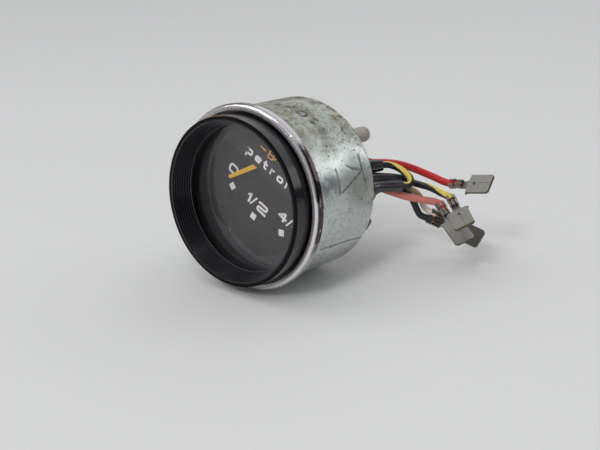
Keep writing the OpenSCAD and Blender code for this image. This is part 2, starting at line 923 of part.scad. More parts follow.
module wire_black() {
    color([0.07, 0.07, 0.07])
        wire(concat(route_black, lead(tab_d, -wire_thin / 2 - pair_gap)), wire_mid);
}

// A flat tab: a grip around the insulation, a crimp around the bare strands, a neck and a blade
module tab_outline(x0) {
    x1 = x0 + tab_blade;
    b = 0.9;
    nib = 0.5;
    polygon([
        [0, -1], [x0 - 0.6, -1], [x0 + 0.1, -tab_w / 2 - nib], [x0 + 0.9, -tab_w / 2],
        [x1 - b, -tab_w / 2], [x1, b - tab_w / 2], [x1, tab_w / 2 - b], [x1 - b, tab_w / 2],
        [x0 + 0.9, tab_w / 2], [x0 + 0.1, tab_w / 2 + nib], [x0 - 0.6, 1], [0, 1]
    ]);
}

// Round bar along local X
module bar_x(r, x0, x1, y = 0) {
    translate([x0, y, 0])
        rotate([0, 90, 0])
            cylinder(r = r, h = x1 - x0, $fn = 40);
}

module tab(pose, grips, neck = neck_len) {
    r_core = 0.85;
    x0 = crimp_at + crimp_len + neck;
    color([0.6, 0.6, 0.57])
        translate(pose[0])
            rotate(pose[1])
                difference() {
                    union() {
                        translate([0, 0, -tab_t])
                            linear_extrude(height = tab_t)
                                tab_outline(x0);
                        for (g = grips) {
                            bar_x(g[0] / 2 + wire_fit + tab_sheet, 0, grip_len, g[1]);
                            bar_x(r_core + wire_fit + tab_sheet, crimp_at, crimp_at + crimp_len, g[1]);
                        }
                    }
                    for (g = grips) {
                        bar_x(g[0] / 2 + wire_fit, -1, core_from + 0.05, g[1]);
                        bar_x(r_core + wire_fit, core_from - 0.1, core_to + 0.4, g[1]);
                    }
                    translate([x0 + tab_hole_at, 0, -tab_t - 1])
                        cylinder(r = tab_hole_r, h = tab_t + 2, $fn = 32);
                }
}

module tab_red() {
    tab(tab_a, [[wire_thick, 0]]);
}

module tab_striped() {
    tab(tab_b, [[wire_mid, 0]]);
}

module tab_pink() {
    tab(tab_c, [[wire_thick, 0]]);
}

module tab_pair() {
    tab(tab_d, [[wire_thin, wire_mid / 2 + pair_gap], [wire_mid, -wire_thin / 2 - pair_gap]],
        pair_neck);
}

// Bare strands that run on from each wire through its crimp
module wire_cores() {
    color([0.8, 0.42, 0.2])
        for (c = [[tab_a, 0], [tab_b, 0], [tab_c, 0], [tab_d, wire_mid / 2 + pair_gap],
                  [tab_d, -wire_thin / 2 - pair_gap]])
            translate(c[0][0])
                rotate(c[0][1])
                    bar_x(0.85, core_from, core_to, c[1]);
}

case_can();
bezel_ring();
hood();
lens_glass();
glass_gasket();
dial_mask();
light_ring();
dial_plate();
dial_rivets();
pointer_stops();
pointer();
pointer_hub();
spindle();
rotor();
chassis_plate();
support_sleeve();
movement_frame();
frame_rivets();
front_bearing();
rear_bearing();
coil_cores();
coil_bobbins();
coil_windings();
mounting_studs();
terminal_posts();
inner_washers();
round_bush();
twin_bush();
post_nuts();
ring_tags();
lamp_shell();
lamp_cap();
bulb_glass();
bulb_cap();
sleeve_upper();
sleeve_middle();
sleeve_lower();
wire_red();
wire_loop();
wire_striped();
wire_pink();
wire_white();
wire_black();
tab_red();
tab_striped();
tab_pink();
tab_pair();
wire_cores();
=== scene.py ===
"""A round panel gauge with a black hood, lying on a pale floor with its rear wires spread out."""
import math
import random

import bmesh
import bpy
from mathutils import Matrix, Vector


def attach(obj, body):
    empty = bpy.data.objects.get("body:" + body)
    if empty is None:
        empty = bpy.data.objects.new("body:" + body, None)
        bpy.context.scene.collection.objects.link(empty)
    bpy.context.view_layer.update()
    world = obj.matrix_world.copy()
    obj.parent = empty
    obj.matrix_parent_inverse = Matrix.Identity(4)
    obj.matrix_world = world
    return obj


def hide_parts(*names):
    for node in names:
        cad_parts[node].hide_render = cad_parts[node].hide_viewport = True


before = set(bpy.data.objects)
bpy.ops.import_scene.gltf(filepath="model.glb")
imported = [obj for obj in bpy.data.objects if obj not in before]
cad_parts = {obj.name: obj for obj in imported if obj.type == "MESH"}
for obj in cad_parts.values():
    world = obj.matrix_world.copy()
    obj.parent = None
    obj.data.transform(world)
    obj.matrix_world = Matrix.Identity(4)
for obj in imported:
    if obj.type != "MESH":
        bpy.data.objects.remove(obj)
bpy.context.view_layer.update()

MM = 0.001

# The floor rises along +Y and touches the bezel ring. The dial is rolled about the gauge's axis
BEZEL_RADIUS = 27.4
BEZEL_STATION = -1.6
FLOOR_SLOPE = 0.055
FLOOR_AT_ORIGIN = -BEZEL_RADIUS - FLOOR_SLOPE * BEZEL_STATION
DIAL_ROLL = math.radians(27.4)

# Stations along the axis and radii, in millimetres, as in the part's source
HOOD_LIP = -8.6
HOOD_STEP = 0.775
HOOD_STEPS = 8
LIP_FACE_FROM = 23.6
LIP_FACE_TO = 24.5
Y_MASK = 1.6
Y_DIAL = 6.4

# Marks on the can, in millimetres: balls of (centre, reach) or (centre, reach, soft edge),
# the centre of the illegible inked ring, and pencil marks as (start, end, width)
# A darker bluish patch on the can's right side
BLUISH_PATCH = ((25.0, 5.0, 7.4), 6.4, 4.6)
# A painted dark reflection: a darker patch at the rear of the can's right side
REAR_DARK_REFLECTION = ((25.0, 18.5, 7.5), 10.5, 7.5)
INK_SMUDGES = [
    ((1.3, 9.8, 26.0), 1.6), ((4.4, 10.6, 25.6), 1.4), ((5.4, 12.6, 25.4), 1.4),
    ((12.4, 13.6, 22.8), 1.5), ((13.2, 11.2, 22.4), 1.5), ((16.0, 12.4, 20.5), 2.2),
    ((13.2, 23.9, 22.4), 1.2),
]
INK_RING = (9.1, 11.3, 24.4)
PENCIL_MARKS = [
    ((23.5, 9.2, 11.2), (24.6, 9.3, 8.3), 0.45), ((24.6, 9.3, 8.3), (25.6, 9.2, 4.5), 0.5),
    ((25.6, 10.3, 4.7), (25.1, 15.0, 6.7), 0.45), ((25.1, 15.0, 6.7), (24.5, 19.8, 8.6), 0.45),
    ((22.6, 21.0, 12.9), (23.9, 20.7, 10.1), 0.6), ((23.9, 20.7, 10.1), (25.5, 21.1, 5.0), 0.5),
    ((23.3, 14.1, 11.4), (23.9, 16.4, 10.2), 0.4), ((23.9, 16.4, 10.2), (24.3, 20.1, 9.3), 0.55),
    ((23.4, 4.0, -11.2), (23.3, 9.6, -11.6), 0.3), ((23.3, 9.6, -11.6), (23.2, 15.7, -11.8), 0.35),
    ((23.2, 15.7, -11.8), (22.7, 25.0, -12.7), 0.3),
]
PENCIL_SOFT = 0.3

# The room's brightness as it lights, as it is mirrored, and as the camera sees it. Towards
# DARK_SIDE the mirrored room falls to ROOM_DARK
ROOM_LIGHT = 0.47
ROOM_MIRRORED = 0.4
ROOM_SEEN = 0.66
ROOM_DARK = 0.05
DARK_SIDE = (0.9, 0.1, -0.1)


# ---- the camera


def placed(name, data):
    """A new object in the scene, for a mesh, a lamp or a camera."""
    thing = bpy.data.objects.new(name, data)
    bpy.context.scene.collection.objects.link(thing)
    return thing


def place_camera():
    """The camera of the photograph, from the rays fitted to the gauge's circles."""
    right = Vector((0.77158, 0.63517, 0.03493))
    down = Vector((0.22384, -0.21969, -0.94954))
    ahead = Vector((-0.59544, 0.74047, -0.31169))
    eye = Vector((184.975, -206.449, 82.821)) * MM
    lens = bpy.data.cameras.new("camera")
    lens.sensor_width = 36
    lens.lens = 60
    lens.clip_start = 0.01
    camera = placed("camera", lens)
    axes = Matrix((right, -down, -ahead)).transposed()
    camera.matrix_world = Matrix.Translation(eye) @ axes.to_4x4()
    bpy.context.scene.camera = camera


# ---- paint: sockets as numbers


def add_node(tree, kind, settings, inputs):
    """A new node, whose inputs are given as sockets or as numbers."""
    node = tree.nodes.new(kind)
    for key, setting in settings.items():
        setattr(node, key, setting)
    for key, given in inputs.items():
        if isinstance(given, bpy.types.NodeSocket):
            tree.links.new(given, node.inputs[key])
        else:
            node.inputs[key].default_value = given
    return node


class Value:
    """A socket in a material. Arithmetic on it adds Math nodes."""

    def __init__(self, paint, socket):
        self.paint = paint
        self.socket = socket

    def math(self, operation, first, second):
        return self.paint.node("ShaderNodeMath", {"operation": operation}, {0: first, 1: second})

    def __add__(self, other):
        return self.math("ADD", self, other)

    def __radd__(self, other):
        return self.math("ADD", other, self)

    def __sub__(self, other):
        return self.math("SUBTRACT", self, other)

    def __rsub__(self, other):
        return self.math("SUBTRACT", other, self)

    def __mul__(self, other):
        return self.math("MULTIPLY", self, other)

    def __rmul__(self, other):
        return self.math("MULTIPLY", other, self)

    def __pow__(self, other):
        return self.math("POWER", self, other)

    def size(self):
        return self.math("ABSOLUTE", self, 0.0)

    def most(self, other):
        return self.math("MAXIMUM", self, other)

    def least(self, other):
        return self.math("MINIMUM", self, other)


class Paint:
    """A material with a Principled surface. Patterns read Object coordinates in millimetres."""

    def __init__(self, name, colour, roughness=0.5, metallic=0.0, **surface):
        self.material = bpy.data.materials.new(name)
        self.material.use_nodes = True
        self.tree = self.material.node_tree
        self.shader = self.tree.nodes["Principled BSDF"]
        self.shader.inputs["Base Color"].default_value = (*colour, 1)
        self.shader.inputs["Roughness"].default_value = roughness
        self.shader.inputs["Metallic"].default_value = metallic
        for socket, amount in surface.items():
            self.shader.inputs[socket.replace("_", " ")].default_value = amount
        self.material.diffuse_color = (*colour, 1)
        self._place = None

    def node(self, kind, settings, inputs, output=0):
        """An output of a new node, whose inputs are given as Values or as numbers."""
        given = {key: getattr(one, "socket", one) for key, one in inputs.items()}
        return Value(self, add_node(self.tree, kind, settings, given).outputs[output])

    def vector(self, operation, *inputs, output=0):
        """A Vector Math node, with its inputs given in order."""
        settings = {"operation": operation}
        return self.node("ShaderNodeVectorMath", settings, dict(enumerate(inputs)), output)

    def scaled(self, vector, factor):
        """A vector times a number."""
        settings = {"operation": "SCALE"}
        return self.node("ShaderNodeVectorMath", settings, {0: vector, "Scale": factor})

    def place(self):
        """Object coordinates in millimetres."""
        if self._place is None:
            here = self.node("ShaderNodeTexCoord", {}, {}, "Object")
            self._place = self.scaled(here, 1 / MM)
        return self._place

    def stretched_place(self, scale, angles=(0, 0, 0)):
        """Object coordinates in millimetres, scaled and then turned by angles in degrees."""
        turn = tuple(math.radians(a) for a in angles)
        inputs = {"Vector": self.place(), "Rotation": turn, "Scale": scale}
        return self.node("ShaderNodeMapping", {}, inputs)

    def along(self, axis, place=None):
        """One coordinate of the place, or of another vector."""
        return self.node("ShaderNodeSeparateXYZ", {}, {0: place or self.place()}, "XYZ".index(axis))

    def radius(self):
        """Distance from the gauge's axis."""
        return (self.along("X") ** 2 + self.along("Z") ** 2) ** 0.5

    def noise(self, pitch, detail=3.0, roughness=0.5, place=None, distortion=0.0, offset=0.0):
        """Noise whose features are about pitch millimetres wide, from 0 to 1."""
        inputs = {
            "Vector": place or self.place(), "W": offset, "Scale": 1 / pitch, "Detail": detail,
            "Roughness": roughness, "Distortion": distortion,
        }
        return self.node("ShaderNodeTexNoise", {"noise_dimensions": "4D"}, inputs)

    def cells(self, pitch):
        """Distance to the nearest of scattered points about pitch millimetres apart."""
        return self.node("ShaderNodeTexVoronoi", {}, {"Vector": self.place(), "Scale": 1 / pitch})

    def step(self, value, low, high):
        """0 below low and 1 above high, with a soft change between, or the other way round."""
        inputs = {"Value": value, "From Min": min(low, high), "From Max": max(low, high)}
        rise = self.node("ShaderNodeMapRange", {"interpolation_type": "SMOOTHSTEP"}, inputs)
        return rise if low < high else 1 - rise

    def spot(self, centre, reach, soft):
        """1 inside a ball round centre, fading to 0 at reach."""
        away = self.vector("DISTANCE", self.place(), centre, output="Value")
        return self.step(away, reach, reach - soft)

    def line(self, start, end, width, soft):
        """1 on a straight mark from start to end, in millimetres."""
        reach = [b - a for a, b in zip(start, end)]
        square = sum(c * c for c in reach)
        here = self.vector("SUBTRACT", self.place(), start)
        part = self.vector("DOT_PRODUCT", here, [c / square for c in reach], output="Value")
        nearest = self.scaled(reach, part.most(0.0).least(1.0))
        away = self.vector("DISTANCE", here, nearest, output="Value")
        return self.step(away, width / 2 + soft, width / 2)

    def loop(self, centre, radius, width, soft=0.2):
        """1 near a ball's surface, which draws a ring on the can, in millimetres."""
        away = self.vector("DISTANCE", self.place(), centre, output="Value")
        return self.step((away - radius).size(), width / 2 + soft, width / 2)

    def blend(self, amount, one, two):
        """A colour between one and two, each a Value or an (r, g, b)."""
        one, two = ((*c, 1) if isinstance(c, tuple) else c for c in (one, two))
        return self.node("ShaderNodeMix", {"data_type": "RGBA"}, {0: amount, 6: one, 7: two}, 2)

    def set(self, **sockets):
        """Links Values to inputs of the surface."""
        for name, value in sockets.items():
            self.tree.links.new(value.socket, self.shader.inputs[name.replace("_", " ")])
        return self

    def bump(self, height, depth):
        """Raises the surface by height times depth, which is in millimetres."""
        raised = self.node("ShaderNodeBump", {}, {"Height": height, "Distance": depth * MM})
        return self.set(Normal=raised)


# ---- materials


def zinc_can():
    """Bright zinc with a green cast, specked, with stains, smudged ink and pencil marks, a darker
    bluish patch, and a darker patch at the rear that is a painted dark reflection.
    """
    p = Paint("zinc_plate", (0.56, 0.6, 0.57), 0.3, 0.9)
    clouds = p.noise(7, 5, 0.62)
    fine = p.noise(0.8, 3, 0.65)
    wipes = p.noise(5, 4, 0.6, p.stretched_place((1, 0.25, 1), (0, 20, 0)), offset=3.0)
    patches = p.step(p.noise(5.5, 4, 0.68, offset=2.0), 0.44, 0.6)
    top = p.step(p.along("Z") + p.noise(5, 3, 0.6, offset=8.0) * 9 - 4.5, 13, 22)
    low = p.step(p.along("Z"), 3, -10)
    rear = p.step(p.along("Y"), 15, 24)
    many = (0.18 + patches * 0.5 + top * 0.3 + low * 0.2 + rear * 0.25).least(1.0)
    specks = p.step(p.noise(0.62, 2, 0.7, offset=7.0) + many * 0.12, 0.675, 0.735)
    mottle = p.step(p.noise(1.5, 4, 0.72, offset=9.5) + many * 0.08, 0.56, 0.72)
    blots = p.step(p.cells(3.1), 0.15, 0.08) * p.step(p.noise(5, 2, offset=6.0), 0.45, 0.55)
    stain = top * p.step(p.noise(4.5, 5, 0.7, offset=11.0), 0.4, 0.6)
    rust = p.step(p.along("Y"), 18, 24) * p.step(p.along("Z"), 12, 18)
    rust = rust * p.step(p.noise(1.8, 4, 0.7, offset=4.0), 0.48, 0.6)
    smears = p.noise(2.0, 4, 0.65, offset=1.0, distortion=0.6)
    # A darker bluish patch
    bluish_patch = p.spot(*BLUISH_PATCH) * p.step(smears, 0.36, 0.54)
    # Painted dark reflection at the rear of the right side
    rear_dark_reflection = p.spot(*REAR_DARK_REFLECTION) * p.step(clouds, 0.3, 0.5)
    colour = p.blend(clouds, (0.48, 0.525, 0.505), (0.74, 0.785, 0.765))
    colour = p.blend(p.step(wipes, 0.48, 0.72) * 0.4, colour, (0.36, 0.41, 0.39))
    colour = p.blend(top * 0.55, colour, (0.29, 0.3, 0.25))
    colour = p.blend((stain * 0.75 + rust * 0.65).least(1.0), colour, (0.17, 0.15, 0.095))
    colour = p.blend(mottle * (0.3 + many * 0.35), colour, (0.23, 0.235, 0.19))
    # The painted dark reflection darkens the rear of the right side
    colour = p.blend(rear_dark_reflection * 0.6, colour, (0.24, 0.265, 0.24))
    colour = p.blend(bluish_patch * 0.7, colour, (0.2, 0.215, 0.255))
    colour = p.blend((specks * (0.4 + many * 0.5)).most(blots * 0.9), colour, (0.045, 0.045, 0.035))
    ink = p.loop(INK_RING, 1.5, 0.8)
    for centre, reach in INK_SMUDGES:
        ink = ink.most(p.spot(centre, reach, reach * 0.7))
    ink = ink * p.step(p.noise(0.9, 3, 0.7, offset=9.0, distortion=1.0), 0.38, 0.52)
    pencil = p.line(*PENCIL_MARKS[0], PENCIL_SOFT)
    for mark in PENCIL_MARKS[1:]:
        pencil = pencil.most(p.line(*mark, PENCIL_SOFT))
    pencil = pencil * (0.35 + 0.65 * p.step(p.noise(0.9, 3, 0.7, offset=13.0), 0.36, 0.56))
    marks = (ink * 0.85).most(pencil * 0.72)
    colour = p.blend(marks, colour, (0.05, 0.05, 0.055))
    dirt = (specks * 0.6 + mottle * 0.25 + stain * 0.3 + marks * 0.5 + rust * 0.4).least(1.0)
    rough = 0.2 + fine * 0.12 + clouds * 0.08 + top * 0.2 + dirt * 0.3 + rear_dark_reflection * 0.12
    p.set(Base_Color=colour, Roughness=rough, Metallic=0.95 - top * 0.4 - dirt * 0.4)
    return p.bump(fine * 0.6 + clouds * 0.3 + wipes * 0.3 - specks - blots, 0.025)


def chrome():
    """Bright chrome, worn to a specked satin on its inner half, with painted dark reflections on
    its outer wall.
    """
    p = Paint("bright_chrome", (0.82, 0.82, 0.84), 0.09, 1.0)
    inner = p.step(p.radius() + p.noise(1.5, 3, 0.6, offset=2.0) * 0.3, 26.75, 26.35)
    outer = p.step(p.radius(), 26.95, 27.3)
    left = p.step(p.along("X"), 2, -8) * p.step(p.along("Z"), 5, 15)
    right = p.step(p.along("X"), 18, 21) * p.step(p.along("Z"), -14, -6)
    # Painted dark reflections: two patches of the outer wall, at the left and at the right
    painted_dark_reflection = (left + right).least(1.0)
    painted_dark_reflection = painted_dark_reflection * p.step(p.noise(2.5, 3, 0.6, p.stretched_place((1, 2.5, 1))), 0.3, 0.45)
    pits = p.step(p.noise(0.32, 2, 0.65) + inner * 0.08, 0.62, 0.68)
    worn = p.noise(1.8, 4, 0.65, offset=5.0)
    wear = (inner * (0.55 + worn * 0.7)).least(1.0)
    colour = p.blend(wear * 0.85, (0.8, 0.79, 0.82), (0.44, 0.385, 0.375))
    # Painted dark reflection: the outer wall is darker all round, and near black in the two patches
    colour = p.blend(outer, colour, (0.52, 0.5, 0.52))
    colour = p.blend(outer * painted_dark_reflection * 0.95, colour, (0.045, 0.03, 0.034))
    colour = p.blend(pits * (0.15 + inner * 0.7), colour, (0.1, 0.085, 0.08))
    p.set(Base_Color=colour, Roughness=0.06 + wear * 0.34 + pits * 0.2, Metallic=1 - wear * 0.3)
    return p.bump(worn * 0.4 - pits, 0.012)


def hood_plastic():
    """Glossy black plastic, finely stepped inside, with a rubbed brownish lip and painted highlight
    lines on its steps.
    """
    p = Paint("hood_plastic", (0.004, 0.0035, 0.0055), 0.14, 0.0)
    lip = p.step(p.along("Y"), HOOD_LIP + 0.35, HOOD_LIP + 0.2)
    lip = lip * p.step(p.radius(), LIP_FACE_FROM, LIP_FACE_FROM + 0.2)
    rubbed = lip * p.step(p.radius(), LIP_FACE_TO, LIP_FACE_TO + 0.12)
    rubbed = rubbed * p.step(p.along("X"), 3, -9)
    bore = p.step(p.radius(), LIP_FACE_FROM + 0.15, LIP_FACE_FROM - 0.05)
    bore = bore * p.step(p.along("Y"), HOOD_LIP, HOOD_LIP + 0.15)
    scuffs = p.noise(1.2, 4, 0.7)
    dust = p.step(p.noise(0.5, 2, 0.6, offset=2.0), 0.64, 0.75)
    along = (p.along("Y") - HOOD_LIP) * (1 / HOOD_STEP)
    ribs = p.node("ShaderNodeMath", {"operation": "COSINE"}, {0: along * (2 * math.pi)})
    stepped = bore * p.step(along, HOOD_STEPS + 0.4, HOOD_STEPS + 0.2)
    # Painted highlights: lighter lines on the crests of the steps and on the last step
    painted_crest_highlights = p.step(ribs, 0.3, 0.95) * stepped * (0.4 + 0.6 * scuffs)
    painted_step_glint = p.step((along - HOOD_STEPS).size(), 0.22, 0.1) * bore
    bare = rubbed * p.step(scuffs, 0.2, 0.5)
    colour = p.blend(bare, (0.004, 0.0035, 0.0055), (0.2, 0.1, 0.045))
    # Real dust, with the painted highlight lines of the steps
    colour = p.blend(dust * 0.05 + painted_crest_highlights * 0.26 + painted_step_glint * 0.3, colour, (0.16, 0.15, 0.18))
    rough = 0.12 + scuffs * 0.06 + bore * 0.06 + lip * 0.12
    p.set(Base_Color=colour, Roughness=rough, Metallic=(bore * 0.3).most(lip * 0.85))
    return p.bump(scuffs * 0.04 + dust * 0.02 + ribs * stepped, 0.09)


def window_glass():
    """Clear glass without bending, so that the mask and the dial lie at their true depth."""
    p = Paint("clear_glass", (1, 1, 1))
    facing = p.node("ShaderNodeLayerWeight", {}, {"Blend": 0.5}, "Facing")
    clear = p.node("ShaderNodeBsdfTransparent", {}, {"Color": (0.985, 0.975, 0.985, 1)})
    shine = p.node("ShaderNodeBsdfGlossy", {}, {"Roughness": 0.02})
    both = p.node("ShaderNodeMixShader", {}, {0: facing ** 5 * 0.94 + 0.055, 1: clear, 2: shine})
    p.tree.links.new(both.socket, p.tree.nodes["Material Output"].inputs["Surface"])
    p.tree.nodes.remove(p.shader)
    return p


def speckled(
    name, dark, light, roughness, metallic=0.0, pitch=1.5, depth=0.01, dirt=None, **surface
):
    """A plain finish with clouding, fine grain and a little dirt."""
    p = Paint(name, light, roughness, metallic, **surface)
    clouds = p.noise(pitch * 3, 4, 0.6)
    grain = p.noise(pitch * 0.3, 2, 0.6, offset=4.0)
    colour = p.blend(clouds, dark, light)
    if dirt:
        grime = p.step(p.noise(pitch, 5, 0.65, offset=8.0), 0.52, 0.7)
        colour = p.blend(grime * 0.6, colour, dirt)
    p.set(Base_Color=colour, Roughness=roughness * (0.8 + 0.4 * grain))
    return p.bump(grain * 0.6 + clouds * 0.4, depth)


def cable_skin(name, colour, dirt, stripe=None, painted_shade_start=None):
    """Soft plastic insulation, painted on the wire's own UV map.

    A stripe is (colour, centre, twist, width). Its centre and width are parts of a turn round
    the wire, and the centre moves by twist for each millimetre. A wire with a painted shade
    start, (length, colour), has that other colour up to that length, as painted shade.
    """
    p = Paint(name, colour, 0.34)
    grain = p.noise(0.35, 3, 0.6)
    grime = p.step(p.noise(2.4, 5, 0.66, offset=5.0), 0.5, 0.72)
    skin = colour
    uv = p.node("ShaderNodeTexCoord", {}, {}, "UV")
    forward = p.along("Y", uv)
    # Painted shade: another colour over the first part of the wire
    if painted_shade_start:
        until, tan = painted_shade_start
        skin = p.blend(p.step(forward + grain * 2, until + 2, until - 2), skin, tan)
    if stripe:
        band, centre, twist, width = stripe
        edge = p.noise(0.9, 2, 0.5, offset=1.0) * 0.05 - 0.025
        turned = p.along("X", uv) - forward * twist + (0.5 - centre) + edge
        turn = p.node("ShaderNodeMath", {"operation": "FRACT"}, {0: turned})
        inside = p.step((turn - 0.5).size(), width / 2 + 0.012, width / 2 - 0.012)
        skin = p.blend(inside, skin, band)
    mixed = p.blend(grime * 0.35, skin, dirt)
    p.set(Base_Color=mixed, Roughness=0.28 + grain * 0.12 + grime * 0.14)
    return p.bump(grain, 0.012)


def tinned_tab(name, light, dark, dirt):
    """Tinned sheet gone grey, with drawn lines along it and grime in the corners."""
    p = Paint(name, light, 0.42, 0.7)
    clouds = p.noise(2.2, 4, 0.62)
    lines = p.noise(0.5, 3, 0.6, p.stretched_place((0.3, 2.2, 1.0), (35, 10, -25)))
    grime = p.step(p.noise(1.1, 4, 0.7, offset=3.0), 0.55, 0.72)
    colour = p.blend(clouds, dark, light)
    colour = p.blend(p.step(lines, 0.55, 0.75) * 0.35, colour, tuple(c * 0.55 for c in light))
    colour = p.blend(grime * 0.6, colour, dirt)
    rough = 0.38 + clouds * 0.18 + grime * 0.2
    p.set(Base_Color=colour, Roughness=rough, Metallic=0.75 - grime * 0.5)
    return p.bump(lines * 0.6 + clouds * 0.6, 0.02)


# ---- modelling helpers


def metres(point):
    """A point given in millimetres, in metres."""
    return tuple(c * MM for c in point)


def take(*objects):
    """Leaves edit mode and selects only these objects, with the first one active."""
    if bpy.context.object and bpy.context.object.mode != "OBJECT":
        bpy.ops.object.mode_set(mode="OBJECT")
    bpy.ops.object.select_all(action="DESELECT")
    for one in objects:
        one.select_set(True)
    bpy.context.view_layer.objects.active = objects[0]


def dress(piece, paint):
    """Gives a piece of the case its material."""
    piece.data.materials.clear()
    piece.data.materials.append(paint.material)
    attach(piece, "case")
    return piece


def settle(piece):
    """Puts the piece's place into its mesh."""
    take(piece)
    bpy.ops.object.transform_apply()
    return piece


def use_modifier(piece, kind, **settings):
    """Adds a modifier and applies it."""
    take(piece)
    modifier = piece.modifiers.new(kind.lower(), kind)
    for key, value in settings.items():
        setattr(modifier, key, value)
    bpy.ops.object.modifier_apply(modifier=modifier.name)
    return piece


def bevel(piece, width, segments, degrees):
    """Rounds the edges that are sharper than an angle."""
    return use_modifier(
        piece, "BEVEL", width=width * MM, segments=segments,
        limit_method="ANGLE", angle_limit=math.radians(degrees),
    )


def thicken(piece, thickness, offset):
    """Gives a surface a thickness: half to each side for offset 0, all of it inwards for -1."""
    return use_modifier(piece, "SOLIDIFY", thickness=thickness * MM, offset=offset)


def soften(piece, degrees):
    """Shades a piece smooth, apart from edges sharper than an angle."""
    take(piece)
    bpy.ops.object.shade_smooth_by_angle(angle=math.radians(degrees))
    return piece


def mesh_piece(name, points, faces):
    """A piece from points in millimetres and faces."""
    mesh = bpy.data.meshes.new(name)
    mesh.from_pydata([metres(p) for p in points], [], faces)
    mesh.update()
    return placed(name, mesh)


def joined(name, pieces):
    """One piece of several."""
    take(*pieces)
    if len(pieces) > 1:
        bpy.ops.object.join()
    whole = bpy.context.object
    whole.name = whole.data.name = name
    return whole


# ---- routes and tubes


def between(a, b, at_a, at_b, t):
    """The point at t on the straight line that passes a at at_a and b at at_b."""
    return a * ((at_b - t) / (at_b - at_a)) + b * ((t - at_a) / (at_b - at_a))


def on_curve(route, per_part=6):
    """A smooth line through the route's points: a centripetal Catmull-Rom curve."""
    points = [Vector(p) for p in route]
    points = [points[0] * 2 - points[1], *points, points[-1] * 2 - points[-2]]
    line = []
    for before, one, two, after in zip(points, points[1:], points[2:], points[3:]):
        t1 = (one - before).length ** 0.5
        t2 = t1 + (two - one).length ** 0.5
        t3 = t2 + (after - two).length ** 0.5
        for k in range(per_part):
            t = t1 + (t2 - t1) * k / per_part
            a1 = between(before, one, 0.0, t1, t)
            a2 = between(one, two, t1, t2, t)
            a3 = between(two, after, t2, t3, t)
            b1 = between(a1, a2, 0.0, t2, t)
            b2 = between(a2, a3, t1, t3, t)
            line.append(between(b1, b2, t1, t2, t))
    line.append(points[-2])
    return line


def line_length(line):
    return sum((b - a).length for a, b in zip(line, line[1:]))


SWEEP_SIDES = 24
UPRIGHT = Vector((0.1, 0.2, 1))


def sweep(name, line, outline, closed_ends=True):
    """Sweeps an outline along a line. outline(part, angle) gives the radius, part runs from 0 to 1.

    The UV map has the turn round the line in U, from the side that faces UPRIGHT, and the
    millimetres along the line in V.
    """
    mesh = bmesh.new()
    uv = mesh.loops.layers.uv.new("UVMap")
    total = line_length(line)
    rings, run, normal = [], 0.0, UPRIGHT
    for i, point in enumerate(line):
        if i:
            run += (point - line[i - 1]).length
        ahead = (line[min(i + 1, len(line) - 1)] - line[max(i - 1, 0)]).normalized()
        normal = (normal - ahead * normal.dot(ahead)).normalized()
        side = ahead.cross(normal)
        ring = []
        for k in range(SWEEP_SIDES):
            turn = 2 * math.pi * k / SWEEP_SIDES
            out = normal * math.cos(turn) + side * math.sin(turn)
            ring.append(mesh.verts.new((point + out * outline(run / total, turn)) * MM))
        rings.append((ring, run))
    for (one, v1), (two, v2) in zip(rings, rings[1:]):
        for k in range(SWEEP_SIDES):
            j = (k + 1) % SWEEP_SIDES
            face = mesh.faces.new((one[k], one[j], two[j], two[k]))
            corners = ((k, v1), (k + 1, v1), (k + 1, v2), (k, v2))
            for loop, (u, v) in zip(face.loops, corners):
                loop[uv].uv = (u / SWEEP_SIDES, v)
    if closed_ends:
        mesh.faces.new(list(reversed(rings[0][0])))
        mesh.faces.new(rings[-1][0])
    bmesh.ops.recalc_face_normals(mesh, faces=mesh.faces)
    data = bpy.data.meshes.new(name)
    mesh.to_mesh(data)
    mesh.free()
    return soften(placed(name, data), 50)


class Tab:
    """A flat tab's pose: its mouth in millimetres and its turns about X, Y and Z in degrees."""

    def __init__(self, mouth, turns):
        self.mouth = Vector(mouth)
        x, y, z = (math.radians(a) for a in turns)
        about_x, about_y = Matrix.Rotation(x, 3, "X"), Matrix.Rotation(y, 3, "Y")
        self.turn = Matrix.Rotation(z, 3, "Z") @ about_y @ about_x

    def at(self, x, y=0.0, z=0.0):
        """A point of the tab, which lies along its own X and is flat in Z."""
        return self.mouth + self.turn @ Vector((x, y, z))


# Tabs, wires and sleeves as in the part's source, in millimetres. Two wires share one tab,
# each beside its middle, and the bare strands start CORE_FROM inside a tab
TAB_RED = Tab((32.4, 57.8, -0.7), (51, -14, -12))
TAB_STRIPED = Tab((38.8, 47.3, -1.7), (30, 13, -43))
TAB_PINK = Tab((33.4, 50.1, -5.4), (25, 28, -22))
TAB_PAIR = Tab((29.1, 51.6, -10.4), (95, 24, 37))
WIRE_THICK = 2.3
WIRE_MID = 2.1
WIRE_THIN = 1.9
PAIR_GAP = 0.1
WHITE_SIDE = WIRE_MID / 2 + PAIR_GAP
BLACK_SIDE = -WIRE_THIN / 2 - PAIR_GAP
CORE_FROM = 1.6

SLEEVE_UPPER = [(15, 37.8, 5.1), (17.5, 41, 5.5)]
SLEEVE_MIDDLE = [(17.3, 38.8, 1.5), (22.8, 45, 1.2)]
SLEEVE_LOWER = [(19.8, 36.7, -0.1), (25, 41.5, 0.5)]

